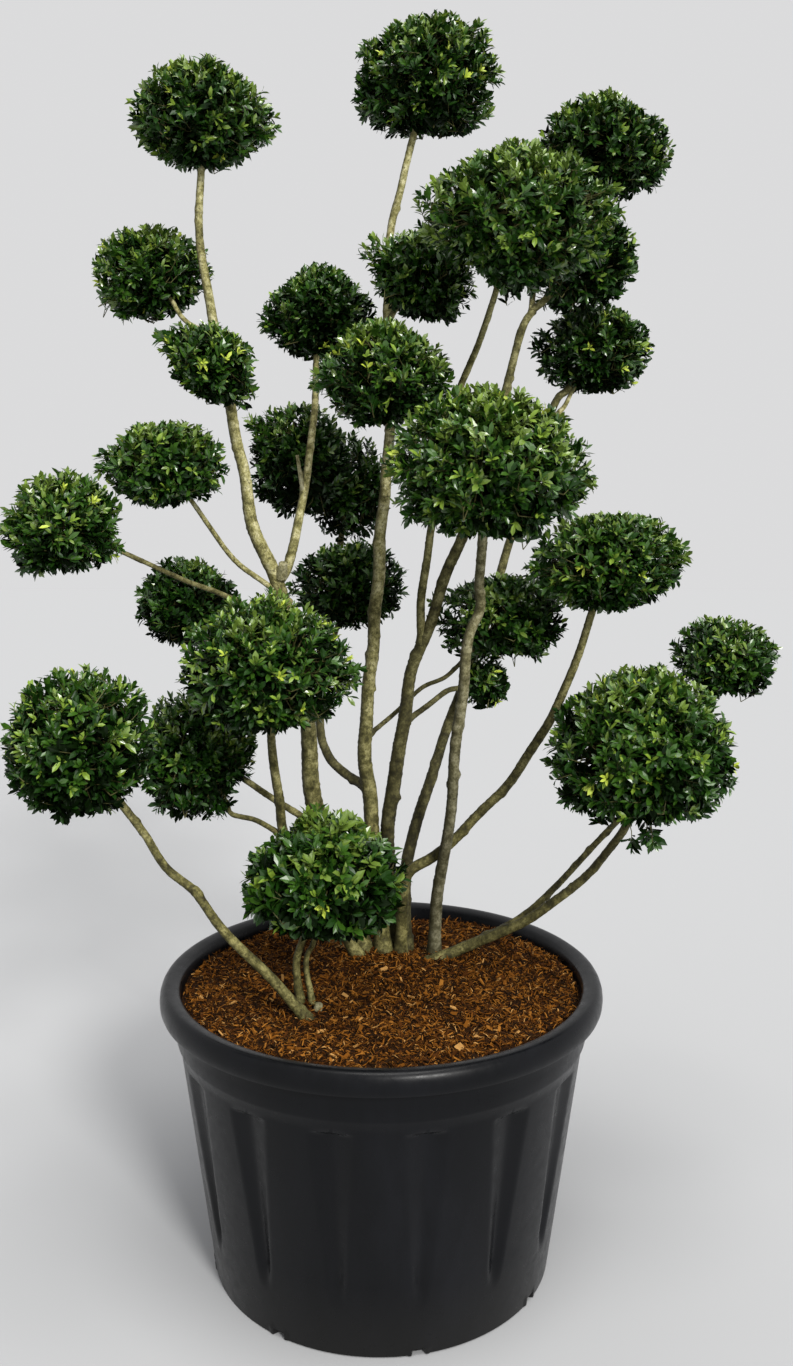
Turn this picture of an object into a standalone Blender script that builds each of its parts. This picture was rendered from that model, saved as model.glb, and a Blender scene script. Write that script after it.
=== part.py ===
"""Cloud-pruned small-leaved holly in a round nursery pot.

Stems rise from the mulch, each ending in a clipped ball of leaves (a cloud).
Metres, +Z up. The origin is the middle of the pot's flat underside.
"""
import math
import random

import bmesh
import bpy
from mathutils import Vector

# ---- pot ----
POT_HEIGHT = 0.488
POT_BASE_RADIUS = 0.294
POT_WALL_TOP_RADIUS = 0.357      # outer wall where the flutes end
COLLAR_RADIUS = 0.363
LIP_RADIUS = 0.392               # widest point of the rolled lip
LIP_CREST_RADIUS = 0.380
LIP_INNER_RADIUS = 0.356
LIP_DEPTH = 0.038
LIP_UNDER_RADIUS = 0.387         # where the lip meets the step under it
LIP_SHOULDER_RADIUS = 0.389
LIP_WIDEST = 0.40                # height of the widest point and the shoulder,
LIP_SHOULDER = 0.75              # as shares of the lip's depth
LIP_INNER_DROP = 0.006
COLLAR_DEPTH = 0.052
COLLAR_TAPER = 0.002             # how far the collar leans out either way
POT_WALL = 0.015
POT_FLOOR = 0.012
BASE_CHAMFER = 0.006
FLUTE_COUNT = 15                 # wedge-shaped grooves, widest at the top
FLUTE_DEPTH = 0.009
FLUTE_HALF_ANGLE = math.radians(6.2)
FLUTE_FLAT_SHARE = 0.22          # width of the groove's bottom against its own
FLUTE_FOOT_WIDTH = 0.35          # width at the foot against the width at the top
FLUTE_FOOT = 0.070               # height where a flute begins
FLUTE_RUN_IN = 0.050             # height over which it reaches full depth
FLUTE_TOP = 0.378
FLUTE_TOP_RUN = 0.008

# ---- mulch ----
MULCH_LEVEL = 0.472              # level of the ground the stems are cut at
MULCH_EDGE_DROP = 0.010
MULCH_FLAT_RADIUS = 0.320

# ---- plant ----
CLEARANCE = 0.0004               # gap between pieces that meet
SEAT_CLEARANCE = 0.0005          # the same, where a bough leaves a limb's flank
LIMB_SIDES = 6
LIMB_STEP = 0.100                # distance between the rings of a limb
FOOT_FLARE = 0.12                # extra radius at the foot, as a share
FOOT_FLARE_HEIGHT = 0.035
FOOT_BURIED = 0.060              # length run below the ground before the cut
CORE_SHARE = 0.76                # size of a cloud's core against the cloud
CORE_LUMPS = 0.05
CROWN_SHARE = 1.10               # height above a cloud's middle against below
TWIG_RADIUS = 0.0038
TWIG_TAPER = 0.60
TWIG_START = 0.50
CLOUD_STEM_SHARE = 0.60          # how far a bough's stem runs on to the cloud's heart
CLOUD_STEM_TAPER = 0.80
LEAF_REACH = 0.985
LEAF_LENGTH = 0.032              # leaf of a cloud of no size, larger than life
LEAF_LENGTH_GROWTH = 0.22        # and what each metre of half spread adds
LEAF_ROOT_SHARE = 0.66           # every root is sunk at least this deep
LEAF_WIDTH = 0.46
LEAF_WAIST = 0.55                # where along its length a leaf is widest
LEAF_THICKNESS = 0.060           # against its length
LEAF_TILT = (math.radians(22.0), math.radians(34.0))
TWIG_LEAF_TILT = (math.radians(14.0), math.radians(22.0))
TWIG_EVERY = 3                   # one leaf in so many ends a twig
LEAVES_PER_AREA = 104.0
NEIGHBOUR_MARGIN = 0.05
LIMB_MARGIN = 0.003
GOLDEN_ANGLE = math.pi * (3.0 - math.sqrt(5.0))
DIRECTION_SHIFT = 0.15           # turn each leaf is shifted by at most, in radians
FIRST_SEED = 11

# Each cloud: its middle (x, y, z), half its spread (x), depth (y) and height (z), then
# how far its outline reaches against those, eight times round from +X by way of +Z.
CLOUDS = {
    "cloud_top_left": ((-0.325, 0.030, 2.034), (0.129, 0.119, 0.104),
        (1.00, 0.84, 0.97, 1.00, 0.97, 0.93, 0.92, 0.87)),
    "cloud_top": ((0.084, 0.100, 2.133), (0.135, 0.124, 0.116),
        (0.98, 1.00, 0.94, 0.92, 0.96, 0.95, 0.96, 1.00)),
    "cloud_top_right": ((0.431, 0.200, 2.038), (0.135, 0.122, 0.102),
        (0.92, 0.82, 0.90, 0.93, 0.97, 1.00, 1.05, 1.05)),
    "cloud_upper_front": ((0.223, -0.180, 1.809), (0.165, 0.140, 0.115),
        (1.06, 0.95, 0.98, 0.94, 1.02, 0.80, 1.04, 1.00)),
    "cloud_upper_right": ((0.392, 0.140, 1.799), (0.101, 0.091, 0.103),
        (0.92, 0.93, 1.00, 1.00, 1.00, 1.04, 1.00, 0.86)),
    "cloud_upper_left": ((-0.450, 0.170, 1.772), (0.110, 0.099, 0.093),
        (1.05, 1.00, 0.93, 1.04, 0.98, 0.98, 0.92, 0.90)),
    "cloud_leader": ((-0.307, -0.030, 1.573), (0.088, 0.080, 0.076),
        (0.95, 0.92, 0.98, 1.12, 0.74, 0.70, 0.84, 1.08)),
    "cloud_upper_back": ((-0.128, 0.210, 1.701), (0.112, 0.101, 0.094),
        (0.97, 0.93, 0.93, 0.80, 0.90, 0.88, 0.95, 1.00)),
    "cloud_upper_middle": ((0.069, 0.015, 1.740), (0.099, 0.084, 0.085),
        (0.90, 0.95, 0.92, 1.04, 0.92, 0.82, 0.92, 1.03)),
    "cloud_middle_high": ((0.007, -0.065, 1.555), (0.118, 0.101, 0.096),
        (0.95, 0.88, 1.00, 0.95, 1.04, 0.97, 0.95, 0.90)),
    "cloud_right_high": ((0.429, 0.270, 1.641), (0.115, 0.103, 0.091),
        (0.80, 0.87, 0.95, 0.88, 0.98, 0.93, 0.96, 1.04)),
    "cloud_centre": ((0.177, -0.210, 1.401), (0.166, 0.141, 0.123),
        (0.95, 0.90, 0.99, 0.95, 1.02, 1.04, 1.00, 0.98)),
    "cloud_left_high": ((-0.385, -0.020, 1.398), (0.110, 0.099, 0.078),
        (1.00, 1.03, 0.92, 0.96, 0.96, 1.02, 0.92, 0.88)),
    "cloud_far_left": ((-0.545, -0.100, 1.297), (0.101, 0.091, 0.091),
        (0.92, 1.00, 0.97, 0.94, 0.96, 1.04, 0.90, 1.02)),
    "cloud_back_left": ((-0.169, 0.235, 1.422), (0.099, 0.085, 0.111),
        (1.04, 1.00, 0.93, 1.04, 0.92, 1.04, 0.98, 1.00)),
    "cloud_back_middle": ((-0.075, 0.330, 1.359), (0.083, 0.060, 0.117),
        (1.04, 1.04, 1.00, 1.00, 1.00, 1.00, 1.00, 1.03)),
    "cloud_back_low": ((-0.065, 0.215, 1.166), (0.102, 0.082, 0.085),
        (1.00, 1.04, 1.00, 1.04, 1.04, 1.00, 1.00, 1.04)),
    "cloud_left_back": ((-0.396, 0.260, 1.130), (0.104, 0.094, 0.088),
        (1.04, 0.93, 0.95, 0.98, 0.92, 0.98, 1.00, 1.00)),
    "cloud_left_front": ((-0.199, -0.100, 1.052), (0.151, 0.128, 0.116),
        (1.06, 1.00, 1.04, 1.00, 0.95, 1.00, 0.93, 0.97)),
    "cloud_right_middle": ((0.408, 0.010, 1.222), (0.144, 0.122, 0.090),
        (0.92, 1.02, 0.94, 1.00, 1.00, 0.98, 0.95, 0.92)),
    "cloud_centre_back": ((0.237, 0.140, 1.104), (0.126, 0.100, 0.080),
        (0.96, 1.00, 1.00, 0.95, 1.05, 0.97, 0.86, 0.98)),
    "cloud_centre_small": ((0.199, 0.160, 0.983), (0.048, 0.044, 0.056),
        (0.88, 0.92, 1.00, 0.92, 0.86, 0.92, 0.82, 0.80)),
    "cloud_far_right": ((0.675, 0.220, 1.025), (0.101, 0.086, 0.081),
        (0.96, 1.00, 0.88, 1.00, 1.00, 0.88, 0.88, 1.02)),
    "cloud_right_low": ((0.466, -0.050, 0.911), (0.168, 0.143, 0.139),
        (0.90, 0.88, 0.94, 0.91, 1.00, 1.05, 0.94, 0.98)),
    "cloud_left_low": ((-0.483, -0.250, 0.948), (0.119, 0.107, 0.122),
        (1.00, 1.03, 0.98, 0.96, 0.93, 0.98, 0.90, 0.86)),
    "cloud_left_inner": ((-0.340, 0.090, 0.867), (0.116, 0.098, 0.123),
        (0.82, 0.93, 1.00, 1.00, 1.00, 1.04, 0.98, 0.85)),
    "cloud_front_low": ((-0.096, -0.130, 0.703), (0.135, 0.115, 0.108),
        (1.04, 0.92, 0.90, 0.90, 0.95, 0.88, 1.00, 1.00)),
}

# Each limb: where it starts ("ground" or the limb that carries it), its foot and
# bends, its radius at the foot and at the tip, and the cloud or limb end it reaches.
LIMBS = {
    "trunk_left": {
        "from": "ground", "radii": (0.0190, 0.0068), "cloud": "cloud_top_left",
        "route": ((-0.041, 0.163), (-0.094, 0.142, 0.635), (-0.135, 0.120, 0.794),
                  (-0.140, 0.110, 0.928), (-0.161, 0.105, 1.061), (-0.200, 0.100, 1.180),
                  (-0.244, 0.095, 1.296), (-0.262, 0.090, 1.399), (-0.282, 0.085, 1.503),
                  (-0.309, 0.080, 1.640), (-0.332, 0.070, 1.769), (-0.336, 0.050, 1.848)),
    },
    "stem_middle": {
        "from": "ground", "radii": (0.0155, 0.0066), "cloud": "cloud_top",
        "route": ((0.001, 0.150), (-0.022, 0.145, 0.733), (-0.034, 0.130, 0.868),
                  (-0.022, 0.115, 1.009), (-0.004, 0.090, 1.249), (0.007, 0.075, 1.371),
                  (0.013, 0.070, 1.472), (0.011, 0.120, 1.712), (0.016, 0.125, 1.847),
                  (0.037, 0.115, 1.930)),
    },
    "stem_right": {
        "from": "ground", "radii": (0.0155, 0.0067), "cloud": "cloud_upper_right",
        "route": ((0.012, 0.186), (0.012, 0.152, 0.720), (0.041, 0.125, 0.912),
                  (0.054, 0.110, 1.004), (0.076, 0.100, 1.071), (0.102, 0.085, 1.140),
                  (0.126, 0.080, 1.207), (0.201, 0.085, 1.427), (0.258, 0.120, 1.636),
                  (0.284, 0.128, 1.690)),
    },
    "stem_back_right": {
        "from": "ground", "radii": (0.0120, 0.0071), "cloud": "cloud_right_high",
        "route": ((0.044, 0.178), (0.044, 0.185, 0.594), (0.061, 0.195, 0.684),
                  (0.135, 0.230, 0.903), (0.203, 0.265, 1.075), (0.259, 0.270, 1.262),
                  (0.338, 0.270, 1.508)),
    },
    "stem_centre": {
        "from": "ground", "radii": (0.0114, 0.0086), "cloud": "cloud_centre",
        "route": ((0.098, 0.138), (0.103, 0.120, 0.576), (0.122, 0.080, 0.716),
                  (0.145, 0.010, 0.991), (0.156, -0.010, 1.084), (0.176, -0.020, 1.138),
                  (0.172, -0.040, 1.193)),
    },
    "stem_side_right": {
        "from": "ground", "radii": (0.0108, 0.0072), "cloud": "cloud_right_middle",
        "route": ((0.034, 0.146), (0.045, 0.128, 0.610), (0.098, 0.125, 0.660),
                  (0.190, 0.110, 0.746), (0.285, 0.090, 0.874), (0.340, 0.070, 0.987),
                  (0.368, 0.045, 1.077)),
    },
    "stem_low_right": {
        "from": "ground", "radii": (0.0095, 0.0071), "cloud": "cloud_right_low",
        "route": ((0.105, 0.100), (0.164, 0.100, 0.499), (0.219, 0.080, 0.530),
                  (0.291, 0.060, 0.572), (0.379, 0.030, 0.659), (0.432, 0.000, 0.738)),
    },
    "stem_far_right": {
        "from": "ground", "radii": (0.0076, 0.0039), "cloud": "cloud_far_right",
        "route": ((0.135, 0.135), (0.252, 0.135, 0.531), (0.325, 0.140, 0.589),
                  (0.416, 0.160, 0.679), (0.519, 0.180, 0.770), (0.621, 0.200, 0.873)),
    },
    "stem_low_left": {
        "from": "ground", "radii": (0.0085, 0.0064), "cloud": "cloud_left_low",
        "route": ((-0.124, -0.158), (-0.178, -0.170, 0.538), (-0.258, -0.190, 0.630),
                  (-0.302, -0.200, 0.694), (-0.348, -0.210, 0.737), (-0.380, -0.220, 0.796)),
    },
    "stem_left_front": {
        "from": "ground", "radii": (0.0110, 0.0072), "cloud": "cloud_left_front",
        "route": ((-0.046, 0.111), (-0.127, 0.110, 0.610), (-0.183, 0.090, 0.705),
                  (-0.190, 0.060, 0.784), (-0.198, 0.030, 0.875)),
    },
    "stem_front": {
        "from": "ground", "radii": (0.0070, 0.0060), "cloud": "cloud_front_low",
        "route": ((-0.137, -0.098), (-0.146, -0.102, 0.541)),
    },
    "twig_front": {
        "from": "ground", "radii": (0.0052, 0.0043), "cloud": "cloud_front_low",
        "route": ((-0.118, -0.105), (-0.127, -0.095, 0.543), (-0.118, -0.105, 0.575)),
    },
    "bough_upper_back": {
        "from": "trunk_left", "radii": (0.0094, 0.0058), "cloud": "cloud_upper_back",
        "route": ((-0.200, 0.100, 1.178), (-0.176, 0.104, 1.215), (-0.148, 0.115, 1.343),
                  (-0.140, 0.130, 1.428), (-0.130, 0.155, 1.515)),
    },
    "bough_left_high": {
        "from": "trunk_left", "radii": (0.0052, 0.0042), "cloud": "cloud_left_high",
        "route": ((-0.192, 0.101, 1.155), (-0.264, 0.078, 1.215), (-0.312, 0.040, 1.281)),
    },
    "bough_far_left": {
        "from": "trunk_left", "radii": (0.0056, 0.0040), "cloud": "cloud_far_left",
        "route": ((-0.166, 0.104, 1.080), (-0.279, 0.050, 1.154), (-0.355, 0.000, 1.192),
                  (-0.402, -0.040, 1.216)),
    },
    "bough_upper_left": {
        "from": "trunk_left", "radii": (0.0048, 0.0042), "cloud": "cloud_upper_left",
        "route": ((-0.309, 0.080, 1.640), (-0.361, 0.102, 1.665)),
    },
    "bough_leader": {
        "from": "trunk_left", "radii": (0.0056, 0.0048), "cloud": "cloud_leader",
        "route": ((-0.282, 0.085, 1.503), (-0.290, 0.048, 1.522)),
    },
    "bough_left_back": {
        "from": "trunk_left", "radii": (0.0056, 0.0048), "cloud": "cloud_left_back",
        "route": ((-0.154, 0.105, 1.030), (-0.236, 0.160, 1.064)),
    },
    "bough_inner_left": {
        "from": "trunk_left", "radii": (0.0070, 0.0056), "cloud": "cloud_left_inner",
        "route": ((-0.113, 0.133, 0.702), (-0.190, 0.122, 0.758)),
    },
    "bough_back_left": {
        "from": "bough_upper_back", "radii": (0.0050, 0.0046), "cloud": "cloud_back_left",
        "route": ((-0.147, 0.118, 1.362),),
    },
    "twig_inner_left": {
        "from": "stem_left_front", "radii": (0.0050, 0.0045), "cloud": "cloud_left_inner",
        "route": ((-0.183, 0.090, 0.705), (-0.235, 0.095, 0.734), (-0.281, 0.094, 0.744)),
    },
    "stem_back": {
        "from": "stem_middle", "radii": (0.0090, 0.0062), "cloud": "cloud_back_middle",
        "route": ((-0.028, 0.140, 0.783), (-0.076, 0.190, 0.803), (-0.108, 0.210, 0.832),
                  (-0.125, 0.225, 0.888), (-0.124, 0.280, 1.029), (-0.100, 0.325, 1.147)),
    },
    "bough_back_low": {
        "from": "stem_back", "radii": (0.0060, 0.0050), "cloud": "cloud_back_low",
        "route": ((-0.125, 0.262, 0.985), (-0.105, 0.245, 1.040)),
    },
    "bough_middle_high": {
        "from": "stem_middle", "radii": (0.0056, 0.0050), "cloud": "cloud_middle_high",
        "route": ((0.012, 0.071, 1.462), (0.012, 0.035, 1.482)),
    },
    "bough_upper_middle": {
        "from": "stem_middle", "radii": (0.0056, 0.0050), "cloud": "cloud_upper_middle",
        "route": ((0.011, 0.110, 1.665), (0.020, 0.092, 1.682)),
    },
    "twig_centre_back": {
        "from": "stem_middle", "radii": (0.0047, 0.0038), "cloud": "cloud_centre_back",
        "route": ((-0.034, 0.128, 0.880), (-0.001, 0.150, 0.904), (0.031, 0.170, 0.929),
                  (0.076, 0.176, 0.969), (0.122, 0.166, 0.992)),
    },
    "bough_upper_front": {
        "from": "stem_right", "radii": (0.0080, 0.0052), "cloud": "cloud_upper_front",
        "route": ((0.074, 0.100, 1.066), (0.072, 0.078, 1.148), (0.084, 0.050, 1.231),
                  (0.105, 0.020, 1.370), (0.144, -0.010, 1.539), (0.194, -0.090, 1.678)),
    },
    "bough_top_right": {
        "from": "stem_right", "radii": (0.0058, 0.0056), "cloud": "cloud_top_right",
        "route": ((0.284, 0.128, 1.690), (0.297, 0.205, 1.774), (0.313, 0.235, 1.880),
                  (0.360, 0.225, 1.945)),
    },
    "twig_centre_small": {
        "from": "stem_right", "radii": (0.0057, 0.0048), "cloud": "cloud_centre_small",
        "route": ((0.041, 0.125, 0.912), (0.087, 0.150, 0.940), (0.124, 0.162, 0.963)),
    },
    "twig_right_high": {
        "from": "stem_back_right", "radii": (0.0050, 0.0040), "cloud": "cloud_right_high",
        "route": ((0.332, 0.270, 1.490), (0.362, 0.262, 1.518)),
    },
}

# Name, colour, roughness and metallic value of each finish.
FINISHES = {
    "plastic": ((0.022, 0.023, 0.026), 0.42, 0.0),
    "mulch": ((0.140, 0.052, 0.020), 0.95, 0.0),
    "bark": ((0.285, 0.255, 0.120), 0.80, 0.0),
    "leaves": ((0.028, 0.085, 0.022), 0.45, 0.0),
}


def clear_scene():
    """Remove whatever objects the file opened with."""
    for old in list(bpy.data.objects):
        bpy.data.objects.remove(old, do_unlink=True)


def make_material(name):
    """A plain Principled material for one finish."""
    colour, roughness, metallic = FINISHES[name]
    material = bpy.data.materials.new(name)
    material.use_nodes = True
    shader = material.node_tree.nodes["Principled BSDF"]
    shader.inputs["Base Color"].default_value = (*colour, 1.0)
    shader.inputs["Roughness"].default_value = roughness
    shader.inputs["Metallic"].default_value = metallic
    material.diffuse_color = (*colour, 1.0)
    return material


def add_object(name, mesh_builder, material=None):
    """Turn a bmesh into a named object in the scene."""
    mesh = bpy.data.meshes.new(name)
    bmesh.ops.recalc_face_normals(mesh_builder, faces=mesh_builder.faces[:])
    mesh_builder.to_mesh(mesh)
    mesh_builder.free()
    made = bpy.data.objects.new(name, mesh)
    bpy.context.scene.collection.objects.link(made)
    if material:
        mesh.materials.append(material)
    return made


def bridge_rings(builder, rings):
    """Quads between each ring of vertices and the next; all have the same count."""
    for lower, upper in zip(rings, rings[1:]):
        count = len(lower)
        for i in range(count):
            j = (i + 1) % count
            builder.faces.new((lower[i], lower[j], upper[j], upper[i]))


def apply_modifier(target, modifier):
    """Bake one modifier into the mesh, then drop it."""
    graph = bpy.context.evaluated_depsgraph_get()
    baked = bpy.data.meshes.new_from_object(target.evaluated_get(graph))
    target.modifiers.remove(modifier)
    old = target.data
    target.data = baked
    bpy.data.meshes.remove(old)


def cut_away(target, cutter):
    """Subtract the cutter from the target and remove the cutter."""
    cutter.hide_render = True
    cutter.display_type = "WIRE"
    modifier = target.modifiers.new("cut", "BOOLEAN")
    modifier.operation = "DIFFERENCE"
    modifier.solver = "EXACT"
    modifier.object = cutter
    apply_modifier(target, modifier)
    bpy.data.objects.remove(cutter, do_unlink=True)


# ---------------------------------------------------------------- pot and mulch

def flute_angles(z):
    """Angles round the pot, five to each flute, and whether each is in its groove."""
    period = 2.0 * math.pi / FLUTE_COUNT
    rise = min(1.0, max(0.0, (z - FLUTE_FOOT) / (FLUTE_TOP - FLUTE_FOOT)))
    half = FLUTE_HALF_ANGLE * (FLUTE_FOOT_WIDTH + (1.0 - FLUTE_FOOT_WIDTH) * rise)
    angles = []
    for k in range(FLUTE_COUNT):
        middle = (k + 0.5) * period - math.pi / 2.0
        angles.append((middle - half, False))
        angles.append((middle - half * FLUTE_FLAT_SHARE, True))
        angles.append((middle + half * FLUTE_FLAT_SHARE, True))
        angles.append((middle + half, False))
        angles.append((middle + period / 2.0, False))
    return angles


def wall_radius(z):
    """Outer radius of the tapered wall at a height."""
    collar_foot = POT_HEIGHT - LIP_DEPTH - COLLAR_DEPTH
    return POT_BASE_RADIUS + (POT_WALL_TOP_RADIUS - POT_BASE_RADIUS) * z / collar_foot


def pot_ring(builder, radius, z, groove=0.0, inside=False):
    """One ring of the pot, set in by the groove's depth where a flute runs."""
    ring = []
    for angle, in_groove in flute_angles(FLUTE_TOP if inside else z):
        r = radius - (groove if in_groove else 0.0)
        ring.append(builder.verts.new((r * math.cos(angle), r * math.sin(angle), z)))
    return ring


def build_pot(material):
    """Rolled lip, plain collar, fluted tapering wall, flat underside and open top."""
    collar_foot = POT_HEIGHT - LIP_DEPTH - COLLAR_DEPTH
    lip_foot = POT_HEIGHT - LIP_DEPTH
    builder = bmesh.new()
    rings = [
        pot_ring(builder, POT_BASE_RADIUS - BASE_CHAMFER, 0.0),
        pot_ring(builder, wall_radius(BASE_CHAMFER), BASE_CHAMFER),
        pot_ring(builder, wall_radius(FLUTE_FOOT), FLUTE_FOOT),
        pot_ring(builder, wall_radius(FLUTE_FOOT + FLUTE_RUN_IN), FLUTE_FOOT + FLUTE_RUN_IN,
                 FLUTE_DEPTH),
        pot_ring(builder, wall_radius(FLUTE_TOP - FLUTE_TOP_RUN), FLUTE_TOP - FLUTE_TOP_RUN,
                 FLUTE_DEPTH),
        pot_ring(builder, wall_radius(FLUTE_TOP), FLUTE_TOP),
        pot_ring(builder, COLLAR_RADIUS - COLLAR_TAPER, collar_foot),
        pot_ring(builder, COLLAR_RADIUS + COLLAR_TAPER, lip_foot + COLLAR_TAPER),
        pot_ring(builder, LIP_UNDER_RADIUS, lip_foot),
        pot_ring(builder, LIP_RADIUS, lip_foot + LIP_WIDEST * LIP_DEPTH),
        pot_ring(builder, LIP_SHOULDER_RADIUS, lip_foot + LIP_SHOULDER * LIP_DEPTH),
        pot_ring(builder, LIP_CREST_RADIUS, POT_HEIGHT),
        pot_ring(builder, LIP_INNER_RADIUS, POT_HEIGHT - LIP_INNER_DROP),
        pot_ring(builder, wall_radius(lip_foot) - POT_WALL, lip_foot),
        pot_ring(builder, wall_radius(POT_FLOOR) - POT_WALL, POT_FLOOR, inside=True),
    ]
    bridge_rings(builder, rings)
    builder.faces.new(list(reversed(rings[0])))
    builder.faces.new(rings[-1])
    return add_object("pot", builder, material)


def build_mulch(material):
    """The fill of the pot, level where the stems stand and lower at the rim."""
    lip_foot = POT_HEIGHT - LIP_DEPTH
    gap = CLEARANCE
    builder = bmesh.new()
    rings = [
        pot_ring(builder, wall_radius(POT_FLOOR) - POT_WALL - gap, POT_FLOOR + gap, inside=True),
        pot_ring(builder, wall_radius(lip_foot) - POT_WALL - gap, lip_foot),
        pot_ring(builder, wall_radius(lip_foot) - POT_WALL - gap, MULCH_LEVEL - MULCH_EDGE_DROP),
        pot_ring(builder, MULCH_FLAT_RADIUS, MULCH_LEVEL),
    ]
    bridge_rings(builder, rings)
    builder.faces.new(list(reversed(rings[0])))
    builder.faces.new(rings[-1])
    return add_object("bark_mulch", builder, material)


# ---------------------------------------------------------------- limbs

def cloud_share(point, name):
    """How far out in a cloud's space a point lies: 1 is its outline."""
    halves, form = CLOUDS[name][1:]
    away = Vector(point) - cloud_heart(name)
    crown = halves[2] * 2.0 * CROWN_SHARE / (1.0 + CROWN_SHARE)
    belly = 2.0 * halves[2] - crown
    up = away.z / (crown if away.z > 0.0 else belly)
    plain = math.sqrt((away.x / halves[0]) ** 2 + (away.y / halves[1]) ** 2 + up ** 2)
    turn = math.atan2(away.z, away.x) / (2.0 * math.pi) * len(form)
    low = math.floor(turn)
    blend = (1.0 - math.cos((turn - low) * math.pi)) / 2.0
    reach = form[low % len(form)] * (1.0 - blend) + form[(low + 1) % len(form)] * blend
    frontal = math.hypot(away.x, away.z) / max(away.length, 1e-6)
    return plain / (1.0 + (reach - 1.0) * frontal)


def cloud_heart(name):
    """The widest level of a cloud, a little under its middle."""
    middle, halves = CLOUDS[name][:2]
    crown = halves[2] * 2.0 * CROWN_SHARE / (1.0 + CROWN_SHARE)
    return Vector((middle[0], middle[1], middle[2] + halves[2] - crown))


def cloud_point(name, direction, share):
    """The point of a cloud's space that lies in a direction, at a share of its size."""
    heart = cloud_heart(name)
    unit = Vector(direction).normalized()
    return heart + unit * (share / max(cloud_share(heart + unit, name), 1e-6))


def entry_point(bend, name):
    """Where a straight run from the last bend to the cloud's heart enters the cloud."""
    heart = cloud_heart(name)
    return cloud_point(name, bend - heart, 1.0)


def limb_route(name):
    """The points of a limb: foot below the ground, bends, and the tip at its cloud."""
    limb = LIMBS[name]
    points = [Vector((*p, MULCH_LEVEL)) if len(p) == 2 else Vector(p) for p in limb["route"]]
    if limb["from"] == "ground":
        run = (points[1] - points[0]).normalized()
        points.insert(0, points[0] - run * FOOT_BURIED)
    points.append(entry_point(points[-1], limb["cloud"]))
    return points


def smooth_points(points, step):
    """Points along a smooth curve through the given ones, about a step apart."""
    ends = [points[0] * 2.0 - points[1]] + list(points) + [points[-1] * 2.0 - points[-2]]
    smooth = []
    for i in range(1, len(ends) - 2):
        before, start, end, after = ends[i - 1:i + 3]
        pieces = max(1, round((end - start).length / step))
        for k in range(pieces):
            t = k / pieces
            smooth.append(0.5 * (start * 2.0 + (end - before) * t
                                 + (before * 2.0 - start * 5.0 + end * 4.0 - after) * t ** 2
                                 + (start * 3.0 - before - end * 3.0 + after) * t ** 3))
    smooth.append(points[-1].copy())
    return smooth


def limb_line(name):
    """Points and radii along a limb, with the swell of its foot."""
    limb = LIMBS[name]
    points = smooth_points(limb_route(name), LIMB_STEP)
    thick, thin = limb["radii"]
    run = [0.0]
    for a, b in zip(points, points[1:]):
        run.append(run[-1] + (b - a).length)
    radii = []
    for point, along in zip(points, run):
        radius = thick + (thin - thick) * along / run[-1]
        if limb["from"] == "ground":
            rise = max(0.0, point.z - MULCH_LEVEL)
            radius *= 1.0 + FOOT_FLARE * math.exp(-rise / FOOT_FLARE_HEIGHT)
        radii.append(radius)
    return points, radii


def tube(name, points, radii, material=None):
    """A closed tube through the points, its rings turned as little as can be."""
    builder = bmesh.new()
    side = Vector((1.0, 0.0, 0.0))
    rings = []
    for i, (point, radius) in enumerate(zip(points, radii)):
        ahead = points[min(i + 1, len(points) - 1)]
        behind = points[max(i - 1, 0)]
        along = (ahead - behind).normalized()
        side = (side - along * side.dot(along)).normalized()
        across = along.cross(side)
        ring = []
        for k in range(LIMB_SIDES):
            turn = 2.0 * math.pi * k / LIMB_SIDES
            offset = side * math.cos(turn) + across * math.sin(turn)
            ring.append(builder.verts.new(point + offset * radius))
        rings.append(ring)
    bridge_rings(builder, rings)
    builder.faces.new(list(reversed(rings[0])))
    builder.faces.new(rings[-1])
    return add_object(name, builder, material)


def cut_at_ground(limb):
    """Cut a stem flat, just above the mulch."""
    builder = bmesh.new()
    builder.from_mesh(limb.data)
    everything = builder.verts[:] + builder.edges[:] + builder.faces[:]
    level = (0.0, 0.0, MULCH_LEVEL + CLEARANCE)
    cut = bmesh.ops.bisect_plane(builder, geom=everything, plane_co=level,
                                 plane_no=(0.0, 0.0, 1.0), clear_inner=True)
    edges = [item for item in cut["geom_cut"] if isinstance(item, bmesh.types.BMEdge)]
    bmesh.ops.edgeloop_fill(builder, edges=edges)
    bmesh.ops.recalc_face_normals(builder, faces=builder.faces[:])
    builder.to_mesh(limb.data)
    builder.free()


def build_limb(name, material):
    """One tapering limb, cut flat at the ground or to the flank of what carries it."""
    carrier = LIMBS[name]["from"]
    points, radii = limb_line(name)
    limb = tube(name, points, radii, material)
    if carrier == "ground":
        cut_at_ground(limb)
    else:
        points, radii = limb_line(carrier)
        clear = tube(name + "_seat", points, [r + SEAT_CLEARANCE for r in radii])
        cut_away(limb, clear)
    return limb


# ---------------------------------------------------------------- clouds

def limb_paths():
    """Every limb as short straight runs with a radius, for keeping leaves off them."""
    runs = []
    for name in LIMBS:
        points, radii = limb_line(name)
        for a, b, radius in zip(points, points[1:], radii):
            runs.append((a, b, radius))
    return runs


def near_limb(point, runs):
    """Whether a point is too close to any limb."""
    for a, b, radius in runs:
        line = b - a
        t = min(1.0, max(0.0, (point - a).dot(line) / line.length_squared))
        if (point - a - line * t).length < radius + LIMB_MARGIN:
            return True
    return False


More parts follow.
